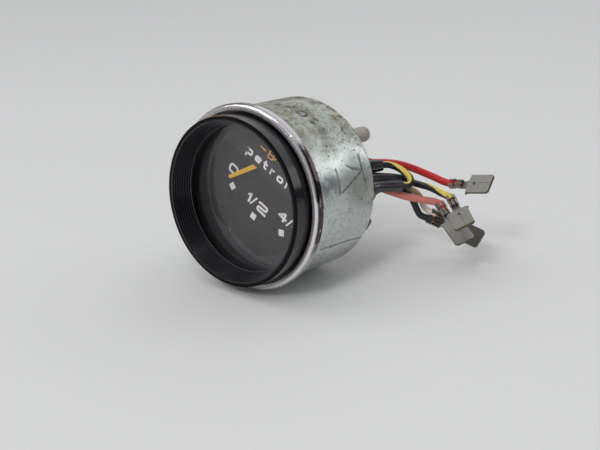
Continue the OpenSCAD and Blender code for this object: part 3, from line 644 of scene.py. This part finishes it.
# Routes of the wires, as in the part's source, in millimetres
ROUTE_RED = [
    (0.2, 32, 8), (0.2, 36.5, 8), (1.6, 38.6, 8), (4.8, 40, 7.8), (8.6, 40.4, 7.2),
    (12.2, 40.5, 5.7), (14.9, 44.8, 5.1), (16.4, 48.1, 4.6), (18.4, 51.2, 3.8), (20.7, 53.9, 2.6),
    (23.2, 55.5, 1.6), (27.2, 57.2, 0.2), (29.7, 57.4, -0.4),
]
ROUTE_LOOP = [
    (0, 32.5, 4.2), (0, 36.6, 4.2), (1.6, 38.2, 4.2), (4.5, 38.5, 4.3), (8, 37.2, 4.5),
    (11.5, 36.1, 4.8), (13.5, 36.6, 5), (15, 37.8, 5.1), (17.5, 41, 5.5), (18.5, 42.6, 5.5),
    (20.2, 43.7, 5.1), (22.5, 43.7, 4.6), (24.6, 43.9, 3.6), (26.1, 43.8, 2.6), (26.9, 43.3, 1.5),
    (26.6, 42.5, 0.7), (25, 41.5, 0.5), (19.8, 36.7, -0.1), (16.6, 34.6, -0.8), (14.5, 34.3, -1.2),
    (12.4, 34.9, -1.9), (10, 36, -3.2), (7, 36.9, -4.6), (4, 37.4, -5.6), (1.8, 36.8, -6.2),
    (0.7, 35.2, -6.4), (0.7, 32.3, -6.4),
]
ROUTE_STRIPED = [
    (-0.3, 32.3, -2.4), (-0.3, 35.4, -2.4), (1, 37.1, -2.2), (3.8, 38, -1.4), (7, 38, -0.5),
    (10, 37.6, 0.3), (12.6, 37.3, 1), (15, 37.4, 1.5), (17.3, 38.8, 1.5), (22.8, 45, 1.2),
    (24.3, 46.5, 0.6), (26.1, 47.1, 0.2), (28.3, 47.2, 0.1), (30.8, 47.2, 0), (33.2, 47.2, -0.4),
    (35.1, 47.2, -0.9), (36.9, 47.2, -1.2),
]
ROUTE_PINK = [
    (12.6, 32, -4.6), (12.6, 36, -4.6), (14.5, 37.4, -3.5), (16.6, 38.7, -2), (18.5, 39.6, -1.5),
    (20.4, 40.6, -2), (21.7, 41.6, -2.5), (23.3, 42.9, -3.1), (25.1, 44.4, -3.7),
    (27.5, 46.4, -4.3), (29.4, 47.8, -4.6), (30.7, 48.9, -4.8), (32, 49.7, -5),
]
ROUTE_WHITE = [
    (10.8, 32.5, -7.8), (10.8, 37, -7.8), (10.2, 39.2, -7.1), (10.6, 41.4, -5.8),
    (12.2, 43.4, -4.3), (14.7, 44.6, -3), (17.9, 46, -2.1), (20.9, 47.9, -1.8), (22.9, 49.5, -2.7),
    (24.5, 51.1, -4.1), (25.6, 52, -5.9), (26.3, 51.9, -7.4), (27.8, 51.6, -8.5),
]
ROUTE_BLACK = [
    (11.4, 32, -12.2), (11.4, 36.5, -12.2), (11.6, 38.1, -10.5), (12.7, 39.4, -8.1),
    (14.2, 40.7, -4.8), (16.4, 41.9, -2.7), (18.9, 43.5, -2), (21.2, 45, -2.2), (22.9, 46.2, -2.8),
    (24.2, 47.3, -4.1), (25.1, 48.5, -6.4), (26, 49.3, -8.8), (26.7, 50.5, -10.7),
]


# ---- wires


def wire_tail(tab, side):
    """The end of a route, inside a tab's grip."""
    return [tuple(tab.at(x, side)) for x in (0.0, CORE_FROM)]


def lay_wires(tabs):
    """The free wires, each on its own route from the rear of the gauge to its flat tab."""
    red = ((0.42, 0.012, 0.014), (0.12, 0.02, 0.015))
    pink = ((0.55, 0.17, 0.15), (0.33, 0.16, 0.12))
    white = ((0.66, 0.6, 0.53), (0.3, 0.22, 0.14))
    black = ((0.012, 0.012, 0.013), (0.05, 0.045, 0.035))
    yellow = (0.58, 0.44, 0.07)
    yellow_on_loop = dict(stripe=(yellow, -0.84, 0.03, 0.27))
    yellow_on_striped = dict(stripe=(yellow, -1.272, 0.0296, 0.31))
    # The white wire's first 32 mm are painted a darker tan: painted shade where it runs behind the
    # pink wire
    painted_shade_start = dict(painted_shade_start=(32, (0.42, 0.3, 0.17)))
    for name, route, tab, side, diameter, (colour, dirt), looks in (
        ("red", ROUTE_RED, TAB_RED, 0, WIRE_THICK, red, {}),
        ("loop", ROUTE_LOOP, None, 0, WIRE_MID, black, yellow_on_loop),
        ("striped", ROUTE_STRIPED, TAB_STRIPED, 0, WIRE_MID, black, yellow_on_striped),
        ("pink", ROUTE_PINK, TAB_PINK, 0, WIRE_THICK, pink, {}),
        ("white", ROUTE_WHITE, TAB_PAIR, WHITE_SIDE, WIRE_THIN, white, painted_shade_start),
        ("black", ROUTE_BLACK, TAB_PAIR, BLACK_SIDE, WIRE_MID, black, {}),
    ):
        line = on_curve(route + (wire_tail(tab, side) if tab else []))
        lead = sweep(name + "_lead", line, lambda part, turn, radius=diameter / 2: radius)
        dress(lead, cable_skin(name + "_lead_skin", colour, dirt, **looks))
        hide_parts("wire_" + name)
        metres(route[0])
        line_length(line) * MM
        [metres(p) for p in line]


# ---- flat tabs

# Measures of a tab, in millimetres. Its grip holds the insulation and its crimp the strands,
# in two lobes. Its blade is a strip folded from both sides to a seam beside its middle
SHEET = 0.4
GRIP_END = 1.8
GRIP_SLACK = 0.04
CRIMP_FROM = 2.1
CRIMP_END = 4.7
CRIMP_RADIUS = 0.42
CRIMP_LOBE = 0.58
BLADE_FROM = 7.2
PAIR_BLADE_FROM = 9.6
BLADE_LEN = 8.9
BLADE_W = 6.3
BLADE_CORNER = 0.6
FOLD_GAP = 0.02
SEAM_SIDE = 0.35
SEAM_GAP = 0.03
HOLE_AT = 2.4
HOLE_RADIUS = 0.4

# Where the strands part to the crimp's two lobes, where they end and how far apart, their
# number round a middle one, and their turn from end to end
STRANDS_PART = 2.9
STRANDS_END = 4.95
STRANDS_LOBE = 0.56
STRANDS_ROUND = 6
STRANDS_TWIST = 0.9


def edit(piece):
    """Opens a piece in edit mode with nothing selected."""
    take(piece)
    bpy.ops.object.mode_set(mode="EDIT")
    bpy.ops.mesh.select_all(action="DESELECT")


def pick(piece, test):
    """Selects, in edit mode, the vertices whose place in millimetres passes the test."""
    bpy.context.tool_settings.mesh_select_mode = (True, False, False)
    mesh = bmesh.from_edit_mesh(piece.data)
    for vertex in mesh.verts:
        vertex.select_set(bool(test(vertex.co / MM)))
    mesh.select_flush_mode()
    bmesh.update_edit_mesh(piece.data)


def extrude(*way):
    """Extrudes the whole mesh by a way in millimetres, and leaves all of it selected."""
    bpy.ops.mesh.select_all(action="SELECT")
    bpy.ops.mesh.extrude_region_move(TRANSFORM_OT_translate={"value": metres(way)})
    bpy.ops.mesh.select_all(action="SELECT")


def bent_sheet(x0, x1, radius, gap):
    """An open barrel round the wire: a strip of sheet bent round X, with its gap at the top."""
    bpy.ops.mesh.primitive_circle_add(
        vertices=48, radius=(radius + SHEET / 2) * MM, rotation=(0, math.pi / 2, 0),
        location=(x0 * MM, 0, 0),
    )
    barrel = settle(bpy.context.object)
    edit(barrel)
    pick(barrel, lambda p: p.z > 0 and abs(math.degrees(math.atan2(p.y, p.z))) < gap / 2)
    bpy.ops.mesh.delete(type="VERT")
    extrude(x1 - x0, 0, 0)
    bpy.ops.mesh.subdivide(number_cuts=2)
    thicken(barrel, SHEET, 0)
    return bevel(barrel, 0.09, 2, 50)


def blade_sheet(x0, y0, y1, z0, z1):
    """One layer of the blade, with cut corners at its far end."""
    middle = (x0 + BLADE_LEN / 2, (y0 + y1) / 2, z0)
    bpy.ops.mesh.primitive_plane_add(size=1, location=metres(middle))
    layer = bpy.context.object
    layer.scale = (BLADE_LEN * MM, (y1 - y0) * MM, 1)
    settle(layer)
    edit(layer)
    far = x0 + BLADE_LEN
    pick(layer, lambda p: p.x > far - 0.1 and abs(p.y) > BLADE_W / 2 - 0.3)
    bpy.ops.mesh.bevel(offset=BLADE_CORNER * MM, affect="VERTICES", segments=1)
    extrude(0, 0, z1 - z0)
    bpy.ops.mesh.normals_make_consistent()
    return bevel(layer, 0.04, 1, 40)


def shoulder(x1):
    """The neck between the crimp and the blade at x1, with the two nibs of the shoulder."""
    half = BLADE_W / 2
    right = [
        (1.5, -0.9, -1.0), (CRIMP_END, -1.3, -0.95), (x1 - 0.6, -1.5, -0.7),
        (x1, -half - 0.5, -0.6), (x1 + 0.9, -half, -0.6),
    ]
    left = [(x, -y, z) for x, y, z in reversed(right)]
    quads = [[0, 1, 8, 9], [1, 2, 7, 8], [2, 3, 6, 7], [3, 4, 5, 6]]
    neck = mesh_piece("neck", right + left, quads)
    thicken(neck, SHEET, 0)
    return bevel(neck, 0.1, 2, 40)


def flat_tab(name, tab, grips, sheet, edge, blade_from):
    """A flat tab: open barrels round insulation and strands, a neck and a folded blade."""
    parts = [shoulder(blade_from)]
    for wire_d, side in grips:
        grip = bent_sheet(0.0, GRIP_END, wire_d / 2 + GRIP_SLACK, 40)
        barrels = [(grip, side)]
        for lobe in (-CRIMP_LOBE, CRIMP_LOBE):
            crimp = bent_sheet(CRIMP_FROM, CRIMP_END, CRIMP_RADIUS, 30)
            barrels.append((crimp, side + lobe))
        for piece, across in barrels:
            piece.data.transform(Matrix.Translation((0, across * MM, 0)))
            parts.append(piece)
    half = BLADE_W / 2
    for layer in (
        (-half, half, -2 * SHEET, -SHEET - FOLD_GAP),
        (SEAM_SIDE + SEAM_GAP / 2, half, -SHEET, 0.0),
        (-half, SEAM_SIDE - SEAM_GAP / 2, -SHEET, 0.0),
    ):
        parts.append(blade_sheet(blade_from, *layer))
    whole = joined(name, parts)
    bpy.ops.mesh.primitive_cylinder_add(
        vertices=24, radius=HOLE_RADIUS * MM, depth=3 * MM,
        location=((blade_from + HOLE_AT) * MM, 0, 0),
    )
    hole = bpy.context.object
    use_modifier(whole, "BOOLEAN", operation="DIFFERENCE", object=hole)
    bpy.data.objects.remove(hole)
    rims = [
        face.index for face in whole.data.polygons
        if face.center.x > blade_from * MM and abs(face.normal.z) < 0.9
    ]
    whole.data.transform(Matrix.Translation(tab.mouth * MM) @ tab.turn.to_4x4())
    dress(soften(whole, 25), sheet)
    whole.data.materials.append(edge.material)
    for index in rims:
        whole.data.polygons[index].material_index = 1
    return whole


def strands(name, tab, side, x0, x1, reach, thick, paint, seed):
    """A bundle of bare strands from x0 to x1, laid with a slight twist round a straight one."""
    rng = random.Random(seed)
    pieces = []
    for k in range(STRANDS_ROUND + 1):
        around = 2 * math.pi * k / STRANDS_ROUND
        out = 0.0 if k == STRANDS_ROUND else reach * rng.uniform(0.85, 1.1)
        line = []
        for i in range(6):
            part = i / 5
            turn = around + part * STRANDS_TWIST
            across, up = side + out * math.cos(turn), out * math.sin(turn)
            line.append(tab.at(x0 + (x1 - x0) * part, across, up))
        pieces.append(sweep(name + "_strand", line, lambda part, turn: thick))
    return dress(joined(name, pieces), paint)


def make_tabs():
    """The flat tabs and the strands in them. Returns the piece of each Tab."""
    grey = tinned_tab("tinned_sheet", (0.42, 0.405, 0.38), (0.24, 0.23, 0.21), (0.1, 0.08, 0.055))
    # A darker grey sheet for the pair's tab
    dark = tinned_tab(
        "darker_tab_sheet", (0.16, 0.155, 0.14), (0.09, 0.085, 0.075), (0.05, 0.042, 0.03)
    )
    edge = speckled(
        "cut_edge", (0.05, 0.045, 0.025), (0.14, 0.125, 0.07), 0.6, 0.3, 0.8, 0.01,
        (0.03, 0.02, 0.012),
    )
    bright = speckled("copper_strands", (0.5, 0.16, 0.05), (0.85, 0.32, 0.11), 0.38, 0.6, 0.4)
    dull = speckled("old_copper", (0.04, 0.012, 0.009), (0.12, 0.028, 0.018), 0.5, 0.4, 0.4)
    pair = [(WIRE_THIN, WHITE_SIDE), (WIRE_MID, BLACK_SIDE)]
    tabs = {}
    for name, tab, grips, sheet, blade_from in (
        ("red", TAB_RED, [(WIRE_THICK, 0)], grey, BLADE_FROM),
        ("striped", TAB_STRIPED, [(WIRE_MID, 0)], grey, BLADE_FROM),
        ("pink", TAB_PINK, [(WIRE_THICK, 0)], grey, BLADE_FROM),
        ("pair", TAB_PAIR, pair, dark, PAIR_BLADE_FROM),
    ):
        tabs[tab] = flat_tab(name + "_tab", tab, grips, sheet, edge, blade_from)
        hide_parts("tab_" + name)
    places = [(TAB_RED, 0), (TAB_STRIPED, 0), (TAB_PINK, 0)]
    places += [(TAB_PAIR, WHITE_SIDE), (TAB_PAIR, BLACK_SIDE)]
    for k, (tab, side) in enumerate(places):
        front = strands(
            "strands_%d" % k, tab, side, CORE_FROM, STRANDS_PART, 0.45, 0.22, bright, k
        )
        for j, lobe in enumerate((-STRANDS_LOBE, STRANDS_LOBE)):
            strands(
                "strand_ends_%d_%d" % (k, j), tab, side + lobe, STRANDS_PART, STRANDS_END,
                0.26, 0.13, dull, 20 + 2 * k + j,
            )
        if k == 0:
            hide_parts("wire_cores")
    return tabs


# ---- sleeves


def wrinkled(seed, tall):
    """The outline of a sleeve: two tall lobes, a deep fold, a shallow one and creases."""
    rng = random.Random(seed)
    creases = [
        (rng.uniform(0, 6.3), rng.uniform(0.1, 0.95), rng.uniform(0.05, 0.12)) for _ in range(6)
    ]

    def outline(part, turn):
        lobes = tall * abs(math.cos(turn)) ** 1.5 * (1 - 0.5 * part ** 6)
        reach = WIRE_MID / 2 + 0.45 + lobes
        deep = turn - 1.2 - 0.25 * math.sin(5 * part + seed)
        shallow = turn - 0.45 + 0.3 * part
        reach -= 0.3 * math.exp(-(deep / 0.3) ** 2)
        reach -= 0.14 * math.exp(-(shallow / 0.16) ** 2) * (1 - part)
        for at, place, depth in creases:
            facing = max(0.0, math.cos(turn - at)) ** 8
            reach -= depth * facing * math.exp(-((part - place) / 0.3) ** 2)
        return reach

    return outline


def make_sleeves():
    """Wrinkled black sleeves, pinched to two lobes along the side that faces out."""
    black = speckled(
        "black_sleeve", (0.008, 0.008, 0.011), (0.016, 0.016, 0.02), 0.25, 0.0, 1.2, 0.04,
        Specular_IOR_Level=1.0,
    )
    for name, route, seed, tall in (
        ("upper", [(13.2, 36.3, 4.9)] + SLEEVE_UPPER, 1, 0.5),
        ("middle", [(14.6, 37.3, 1.4)] + SLEEVE_MIDDLE, 2, 0.42),
        ("lower", [(17.6, 35.2, -0.6)] + SLEEVE_LOWER, 3, 0.32),
    ):
        line = on_curve(route, 14)
        sleeve = sweep(name + "_sleeve", line, wrinkled(seed, tall), closed_ends=False)
        thicken(sleeve, 0.4, -1)
        dress(soften(sleeve, 50), black)
        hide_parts("sleeve_" + name)


# ---- print on the dial and the mask

PRINT_THICK = 0.03

# Numbers of the dial as (mark, u, v, width, height, pen), and squares as (u, v, turn in degrees)
NUMBERS = [
    ("0", -15.1, -3.1, 3.8, 3.1, 0.74),
    ("1", -5.1, -6.6, 1.8, 3.3, 0.76), ("/", -3.1, -6.6, 2.0, 3.3, 0.52),
    ("2", -0.3, -6.6, 4.1, 3.3, 0.76),
    ("4", 7.3, -3.3, 3.6, 3.3, 0.74), ("/", 11.2, -3.3, 1.8, 3.3, 0.52),
    ("4", 13.3, -3.3, 3.6, 3.3, 0.74),
]
SQUARES = [(-11.06, -6.45, 28.4), (0.06, -9.25, 0.0), (11.09, -6.45, -28.4)]
SQUARE_SIDE = 2.0


def on_dial(u, v, y):
    """A point of the dial's own upright, in the lying gauge, in millimetres."""
    cos, sin = math.cos(DIAL_ROLL), math.sin(DIAL_ROLL)
    return Vector((u * cos + v * sin, y, v * cos - u * sin))


def straight(u0, v0, u1, v1):
    return [Vector((u0, v0)), Vector((u1, v1))]


def rounded(path, radius, closed=False):
    """A line with its corners rounded, from a list of (u, v) points."""
    line, n = [], len(path)
    for i, p in enumerate(path):
        p = Vector(p)
        if not closed and i in (0, n - 1):
            line.append(p)
            continue
        one, two = Vector(path[i - 1]) - p, Vector(path[(i + 1) % n]) - p
        cut = min(radius, one.length * 0.48, two.length * 0.48)
        a, b = p + one.normalized() * cut, p + two.normalized() * cut
        for k in range(7):
            t = k / 6
            line.append(a.lerp(p, t).lerp(p.lerp(b, t), t))
    if closed:
        line.append(line[0].copy())
    return line


def stroke(path, width):
    """The left and the right edge of a pen stroke along a path in (u, v)."""
    left, right = [], []
    ring = (path[0] - path[-1]).length < 1e-6
    for i, p in enumerate(path):
        back = path[i - 1] if i else (path[-2] if ring else p)
        front = path[i + 1] if i + 1 < len(path) else (path[1] if ring else p)
        one = (p - back).normalized() if (p - back).length > 1e-9 else (front - p).normalized()
        two = (front - p).normalized() if (front - p).length > 1e-9 else one
        mid = (one + two).normalized()
        across = Vector((-mid.y, mid.x)) * width / 2 / max(0.5, mid.dot(one))
        left.append(p + across)
        right.append(p - across)
    return left, right


def printed(name, strokes, y, paint):
    """Ink on a plate: strokes as (path, width), standing proud of station y towards the front."""
    points, faces = [], []
    for path, width in strokes:
        left, right = stroke(path, width)
        start = len(points)
        for a, b in zip(left, right):
            points += [on_dial(a.x, a.y, y - PRINT_THICK), on_dial(b.x, b.y, y - PRINT_THICK)]
        for i in range(len(left) - 1):
            k = start + 2 * i
            faces.append((k, k + 1, k + 3, k + 2))
    ink = mesh_piece(name, points, faces)
    edit(ink)
    bpy.ops.mesh.select_all(action="SELECT")
    bpy.ops.mesh.remove_doubles(threshold=1e-7)
    bpy.ops.mesh.normals_make_consistent()
    bpy.ops.object.mode_set(mode="OBJECT")
    if ink.data.polygons[0].normal.y > 0:
        ink.data.flip_normals()
    thicken(ink, PRINT_THICK, -1)
    return dress(ink, paint)


def glyph(mark, u, v, w, h, pen):
    """Strokes of a number or letter in a box at (u, v), w wide and h high, with a square pen."""
    half = pen / 2
    u0, u1 = u + half, u + w - half
    v0, v1, middle = v + half, v + h - half, v + h / 2
    stem = u1 - 0.2 * w
    bend = 0.28 * h
    ring = rounded([(u0, v0), (u1, v0), (u1, v1), (u0, v1)], bend, True)
    two = [
        (u0, v1 - 0.16 * h), (u0, v1), (u1, v1), (u1, middle), (u0, middle - 0.05 * h), (u0, v0),
        (u1 + half, v0),
    ]
    four = [(stem, v1), (u0, v0 + 0.26 * h), (u1 + half, v0 + 0.26 * h)]
    shapes = {
        "0": [ring],
        "1": [rounded([(u0, v1 - 0.24 * h), (u1 - 0.02, v1), (u1 - 0.02, v0 - half)], 0.01)],
        "2": [rounded(two, bend * 0.8)],
        "4": [straight(stem, v0 - half, stem, v1), rounded(four, 0.05)],
        "/": [straight(u0, v0 - half, u1, v1 + half)],
        "p": [straight(u0, v - 0.42 * h, u0, v + h), ring],
        "e": [rounded([(u0, middle), (u1, middle), (u1, v1), (u0, v1), (u0, v0), (u1, v0)], bend)],
        "t": [rounded([(u0 + 0.1 * w, v + 1.35 * h), (u0 + 0.1 * w, v0), (u1, v0)], bend),
              straight(u - 0.12 * w, v1, u1, v1)],
        "r": [straight(u0, v, u0, v + h),
              rounded([(u0, middle + 0.1 * h), (u0, v1), (u1, v1)], bend)],
        "o": [ring],
        "l": [straight(u0, v, u0, v + 1.4 * h)],
    }
    return [(path, pen) for path in shapes[mark]]


def word(text, widths, u, v, h, pen, space):
    """Strokes of a word that starts at (u, v), with a width for each letter."""
    strokes = []
    for mark, w in zip(text, widths):
        strokes += glyph(mark, u, v, w, h, pen)
        u += w + space
    return strokes


def square(u, v, turn):
    """A square mark, as one wide stroke, turned about its centre by degrees."""
    turn = math.radians(turn)
    along = Vector((math.sin(turn), math.cos(turn))) * SQUARE_SIDE / 2
    return ([Vector((u, v)) - along, Vector((u, v)) + along], SQUARE_SIDE)


def print_dial():
    """Numbers and squares on the dial, and the word and the pump mark on the mask."""
    white = speckled("white_print", (0.93, 0.92, 0.88), (0.98, 0.97, 0.94), 0.6, 0.0, 0.6, 0.004)
    orange = speckled("orange_print", (0.68, 0.34, 0.06), (0.78, 0.4, 0.08), 0.6, 0.0, 0.6, 0.004)
    numbers = [one for place in NUMBERS for one in glyph(*place)]
    numbers += [square(*place) for place in SQUARES]
    printed("dial_numbers", numbers, Y_DIAL, white)
    petrol = word("petrol", (2.5, 2.5, 1.8, 1.8, 2.5, 0.62), -8.7, 9.6, 1.95, 0.62, 1.1)
    printed("mask_word", petrol, Y_MASK, white)
    pump = [
        (rounded([(-1.3, 13.6), (-1.3, 15.8), (0.5, 15.8), (0.5, 13.6)], 0.2, True), 0.42),
        (straight(-1.1, 14.8, 0.3, 14.8), 0.36),
        (rounded([(0.7, 14.3), (1.4, 14.3), (1.4, 15.2), (0.95, 15.7)], 0.2), 0.34),
        (straight(-4.9, 14.6, -2.6, 14.6), 0.5),
        (straight(2.6, 14.6, 4.9, 14.6), 0.5),
    ]
    printed("mask_mark", pump, Y_MASK, orange)


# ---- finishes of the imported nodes

# Plain finishes: the nodes, dark and light colour, roughness, metallic, pitch, depth and dirt
PLAIN = {
    "matt_black": (
        "dial_plate", (0.0165, 0.0155, 0.018), (0.019, 0.018, 0.0205), 0.8, 0.0, 2.5, 0.0,
    ),
    # The mask is painted about twice as light as the dial plate: painted light, for the light it
    # catches above the recessed dial
    "mask_black_painted_light": (
        "dial_mask", (0.035, 0.0335, 0.0365), (0.039, 0.0375, 0.0405), 0.8, 0.0, 2.5, 0.0,
    ),
    "black_rubber": ("glass_gasket", (0.01, 0.01, 0.01), (0.02, 0.02, 0.02), 0.7, 0.0, 0.8, 0.02),
    "needle_yellow": ("pointer", (0.86, 0.5, 0.008), (0.96, 0.57, 0.012), 0.45, 0.0, 0.8, 0.004),
    "hub_black": (
        "dial_rivets pointer_stops pointer_hub lamp_cap",
        (0.01, 0.01, 0.011), (0.02, 0.02, 0.022), 0.4, 0.0, 0.8, 0.01,
    ),
    "cream_plastic": (
        "coil_bobbins round_bush twin_bush",
        (0.6, 0.54, 0.4), (0.74, 0.68, 0.54), 0.45, 0.0, 1.6, 0.02, (0.3, 0.24, 0.14),
    ),
    "white_plastic": (
        "light_ring support_sleeve", (0.68, 0.68, 0.65), (0.78, 0.78, 0.75), 0.5, 0.0, 1.6, 0.01,
    ),
    "brass": (
        "frame_rivets front_bearing rear_bearing terminal_posts post_nuts bulb_cap",
        (0.18, 0.155, 0.085), (0.3, 0.26, 0.15), 0.5, 0.6, 1.2, 0.02, (0.1, 0.08, 0.05),
    ),
    "copper_wire": ("coil_windings", (0.5, 0.17, 0.06), (0.66, 0.26, 0.1), 0.35, 0.9, 0.6, 0.05),
    "plain_steel": (
        "spindle lamp_shell", (0.42, 0.42, 0.42), (0.58, 0.58, 0.58), 0.34, 0.95, 1.5, 0.01,
    ),
    "grey_iron": ("rotor coil_cores", (0.2, 0.2, 0.21), (0.32, 0.32, 0.33), 0.45, 0.9, 1.2, 0.02),
    "dull_steel": (
        "mounting_studs",
        (0.3, 0.28, 0.23), (0.45, 0.43, 0.37), 0.6, 0.55, 1.4, 0.04, (0.14, 0.11, 0.07),
    ),
    "brown_fibre": ("inner_washers", (0.2, 0.08, 0.04), (0.32, 0.14, 0.07), 0.65, 0.0, 1.0, 0.03),
    "yellow_zinc": (
        "chassis_plate movement_frame",
        (0.5, 0.45, 0.28), (0.62, 0.58, 0.42), 0.36, 0.9, 2.5, 0.01,
    ),
}


def paint_nodes(nodes, paint):
    """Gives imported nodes, named in one string, their material."""
    for node in nodes.split():
        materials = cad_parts[node].data.materials
        materials.clear()
        materials.append(paint.material)


def finish_nodes():
    """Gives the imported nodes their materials."""
    for name, (nodes, *look) in PLAIN.items():
        paint_nodes(nodes, speckled(name, *look))
    tinned = tinned_tab("tinned_tag", (0.5, 0.49, 0.45), (0.3, 0.29, 0.26), (0.1, 0.08, 0.05))
    paint_nodes("ring_tags", tinned)
    paint_nodes("lens_glass bulb_glass", window_glass())
    paint_nodes("case_can", zinc_can())
    paint_nodes("bezel_ring", chrome())
    paint_nodes("hood", hood_plastic())


# ---- floor and lamps


def make_floor():
    """A pale matt floor, which rises along +Y."""
    bpy.ops.mesh.primitive_grid_add(x_subdivisions=8, y_subdivisions=8, size=6)
    floor = bpy.context.object
    floor.name = "floor"
    floor.rotation_euler = (math.atan(FLOOR_SLOPE), 0, 0)
    floor.location = (0, 0, FLOOR_AT_ORIGIN * MM)
    p = Paint("pale_floor", (0.62, 0.62, 0.62), 0.7, Specular_IOR_Level=0.2)
    p.set(Base_Color=p.blend(p.noise(400, 2), (0.61, 0.61, 0.61), (0.63, 0.63, 0.63)))
    floor.data.materials.append(p.material)


def add_lamp(name, turn, rise, reach, size, power):
    """An area lamp, reach metres from the origin at a turn about +Z and a rise in degrees."""
    turn, rise = math.radians(turn), math.radians(rise)
    flat = math.cos(rise)
    place = Vector((math.cos(turn) * flat, math.sin(turn) * flat, math.sin(rise))) * reach
    lamp = bpy.data.lights.new(name, "AREA")
    lamp.shape = "RECTANGLE"
    lamp.size, lamp.size_y = size
    lamp.energy = power
    holder = placed(name, lamp)
    holder.location = place
    holder.rotation_euler = (-place).to_track_quat("-Z", "Y").to_euler()
    return holder


def light_scene():
    """A plain room, as bright as the ROOM constants say, with lamps and windows."""
    world = bpy.data.worlds.new("studio")
    bpy.context.scene.world = world
    world.use_nodes = True
    tree = world.node_tree
    sky = tree.nodes["Background"]
    sky.inputs[0].default_value = (0.97, 0.98, 1.0, 1)
    way = add_node(tree, "ShaderNodeTexCoord", {}, {}).outputs["Generated"]
    settings = {"operation": "DOT_PRODUCT"}
    side = add_node(tree, "ShaderNodeVectorMath", settings, {0: way, 1: DARK_SIDE})
    inputs = {"Value": side.outputs["Value"], 1: 0.2, 2: 0.8, 3: ROOM_MIRRORED, 4: ROOM_DARK}
    mirrored = add_node(tree, "ShaderNodeMapRange", {}, inputs).outputs[0]
    rays = add_node(tree, "ShaderNodeLightPath", {}, {}).outputs
    inputs = {0: rays["Is Glossy Ray"], 2: ROOM_LIGHT, 3: mirrored}
    mixed = add_node(tree, "ShaderNodeMix", {}, inputs).outputs[0]
    inputs = {0: rays["Is Camera Ray"], 2: mixed, 3: ROOM_SEEN}
    mixed = add_node(tree, "ShaderNodeMix", {}, inputs).outputs[0]
    tree.links.new(mixed, sky.inputs["Strength"])
    add_lamp("top_softbox", 90, 88, 1.1, (1.2, 1.2), 1.8)
    add_lamp("front_softbox", -140, 45, 1.3, (1.0, 0.9), 3.4)
    add_lamp("back_window", 95, 33, 1.2, (1.5, 0.75), 2.2)
    add_lamp("side_window", 55, 21, 1.0, (0.46, 0.3), 0.62)
    add_lamp("small_window", -68, 57, 1.2, (0.16, 0.16), 1.2)
    add_lamp("key", -80, 36, 1.3, (0.3, 0.3), 6.4).visible_glossy = False


# ---- the scene

place_camera()
bpy.context.scene.view_settings.view_transform = "Standard"
lay_wires(make_tabs())
make_sleeves()
print_dial()
finish_nodes()
make_floor()
light_scene()
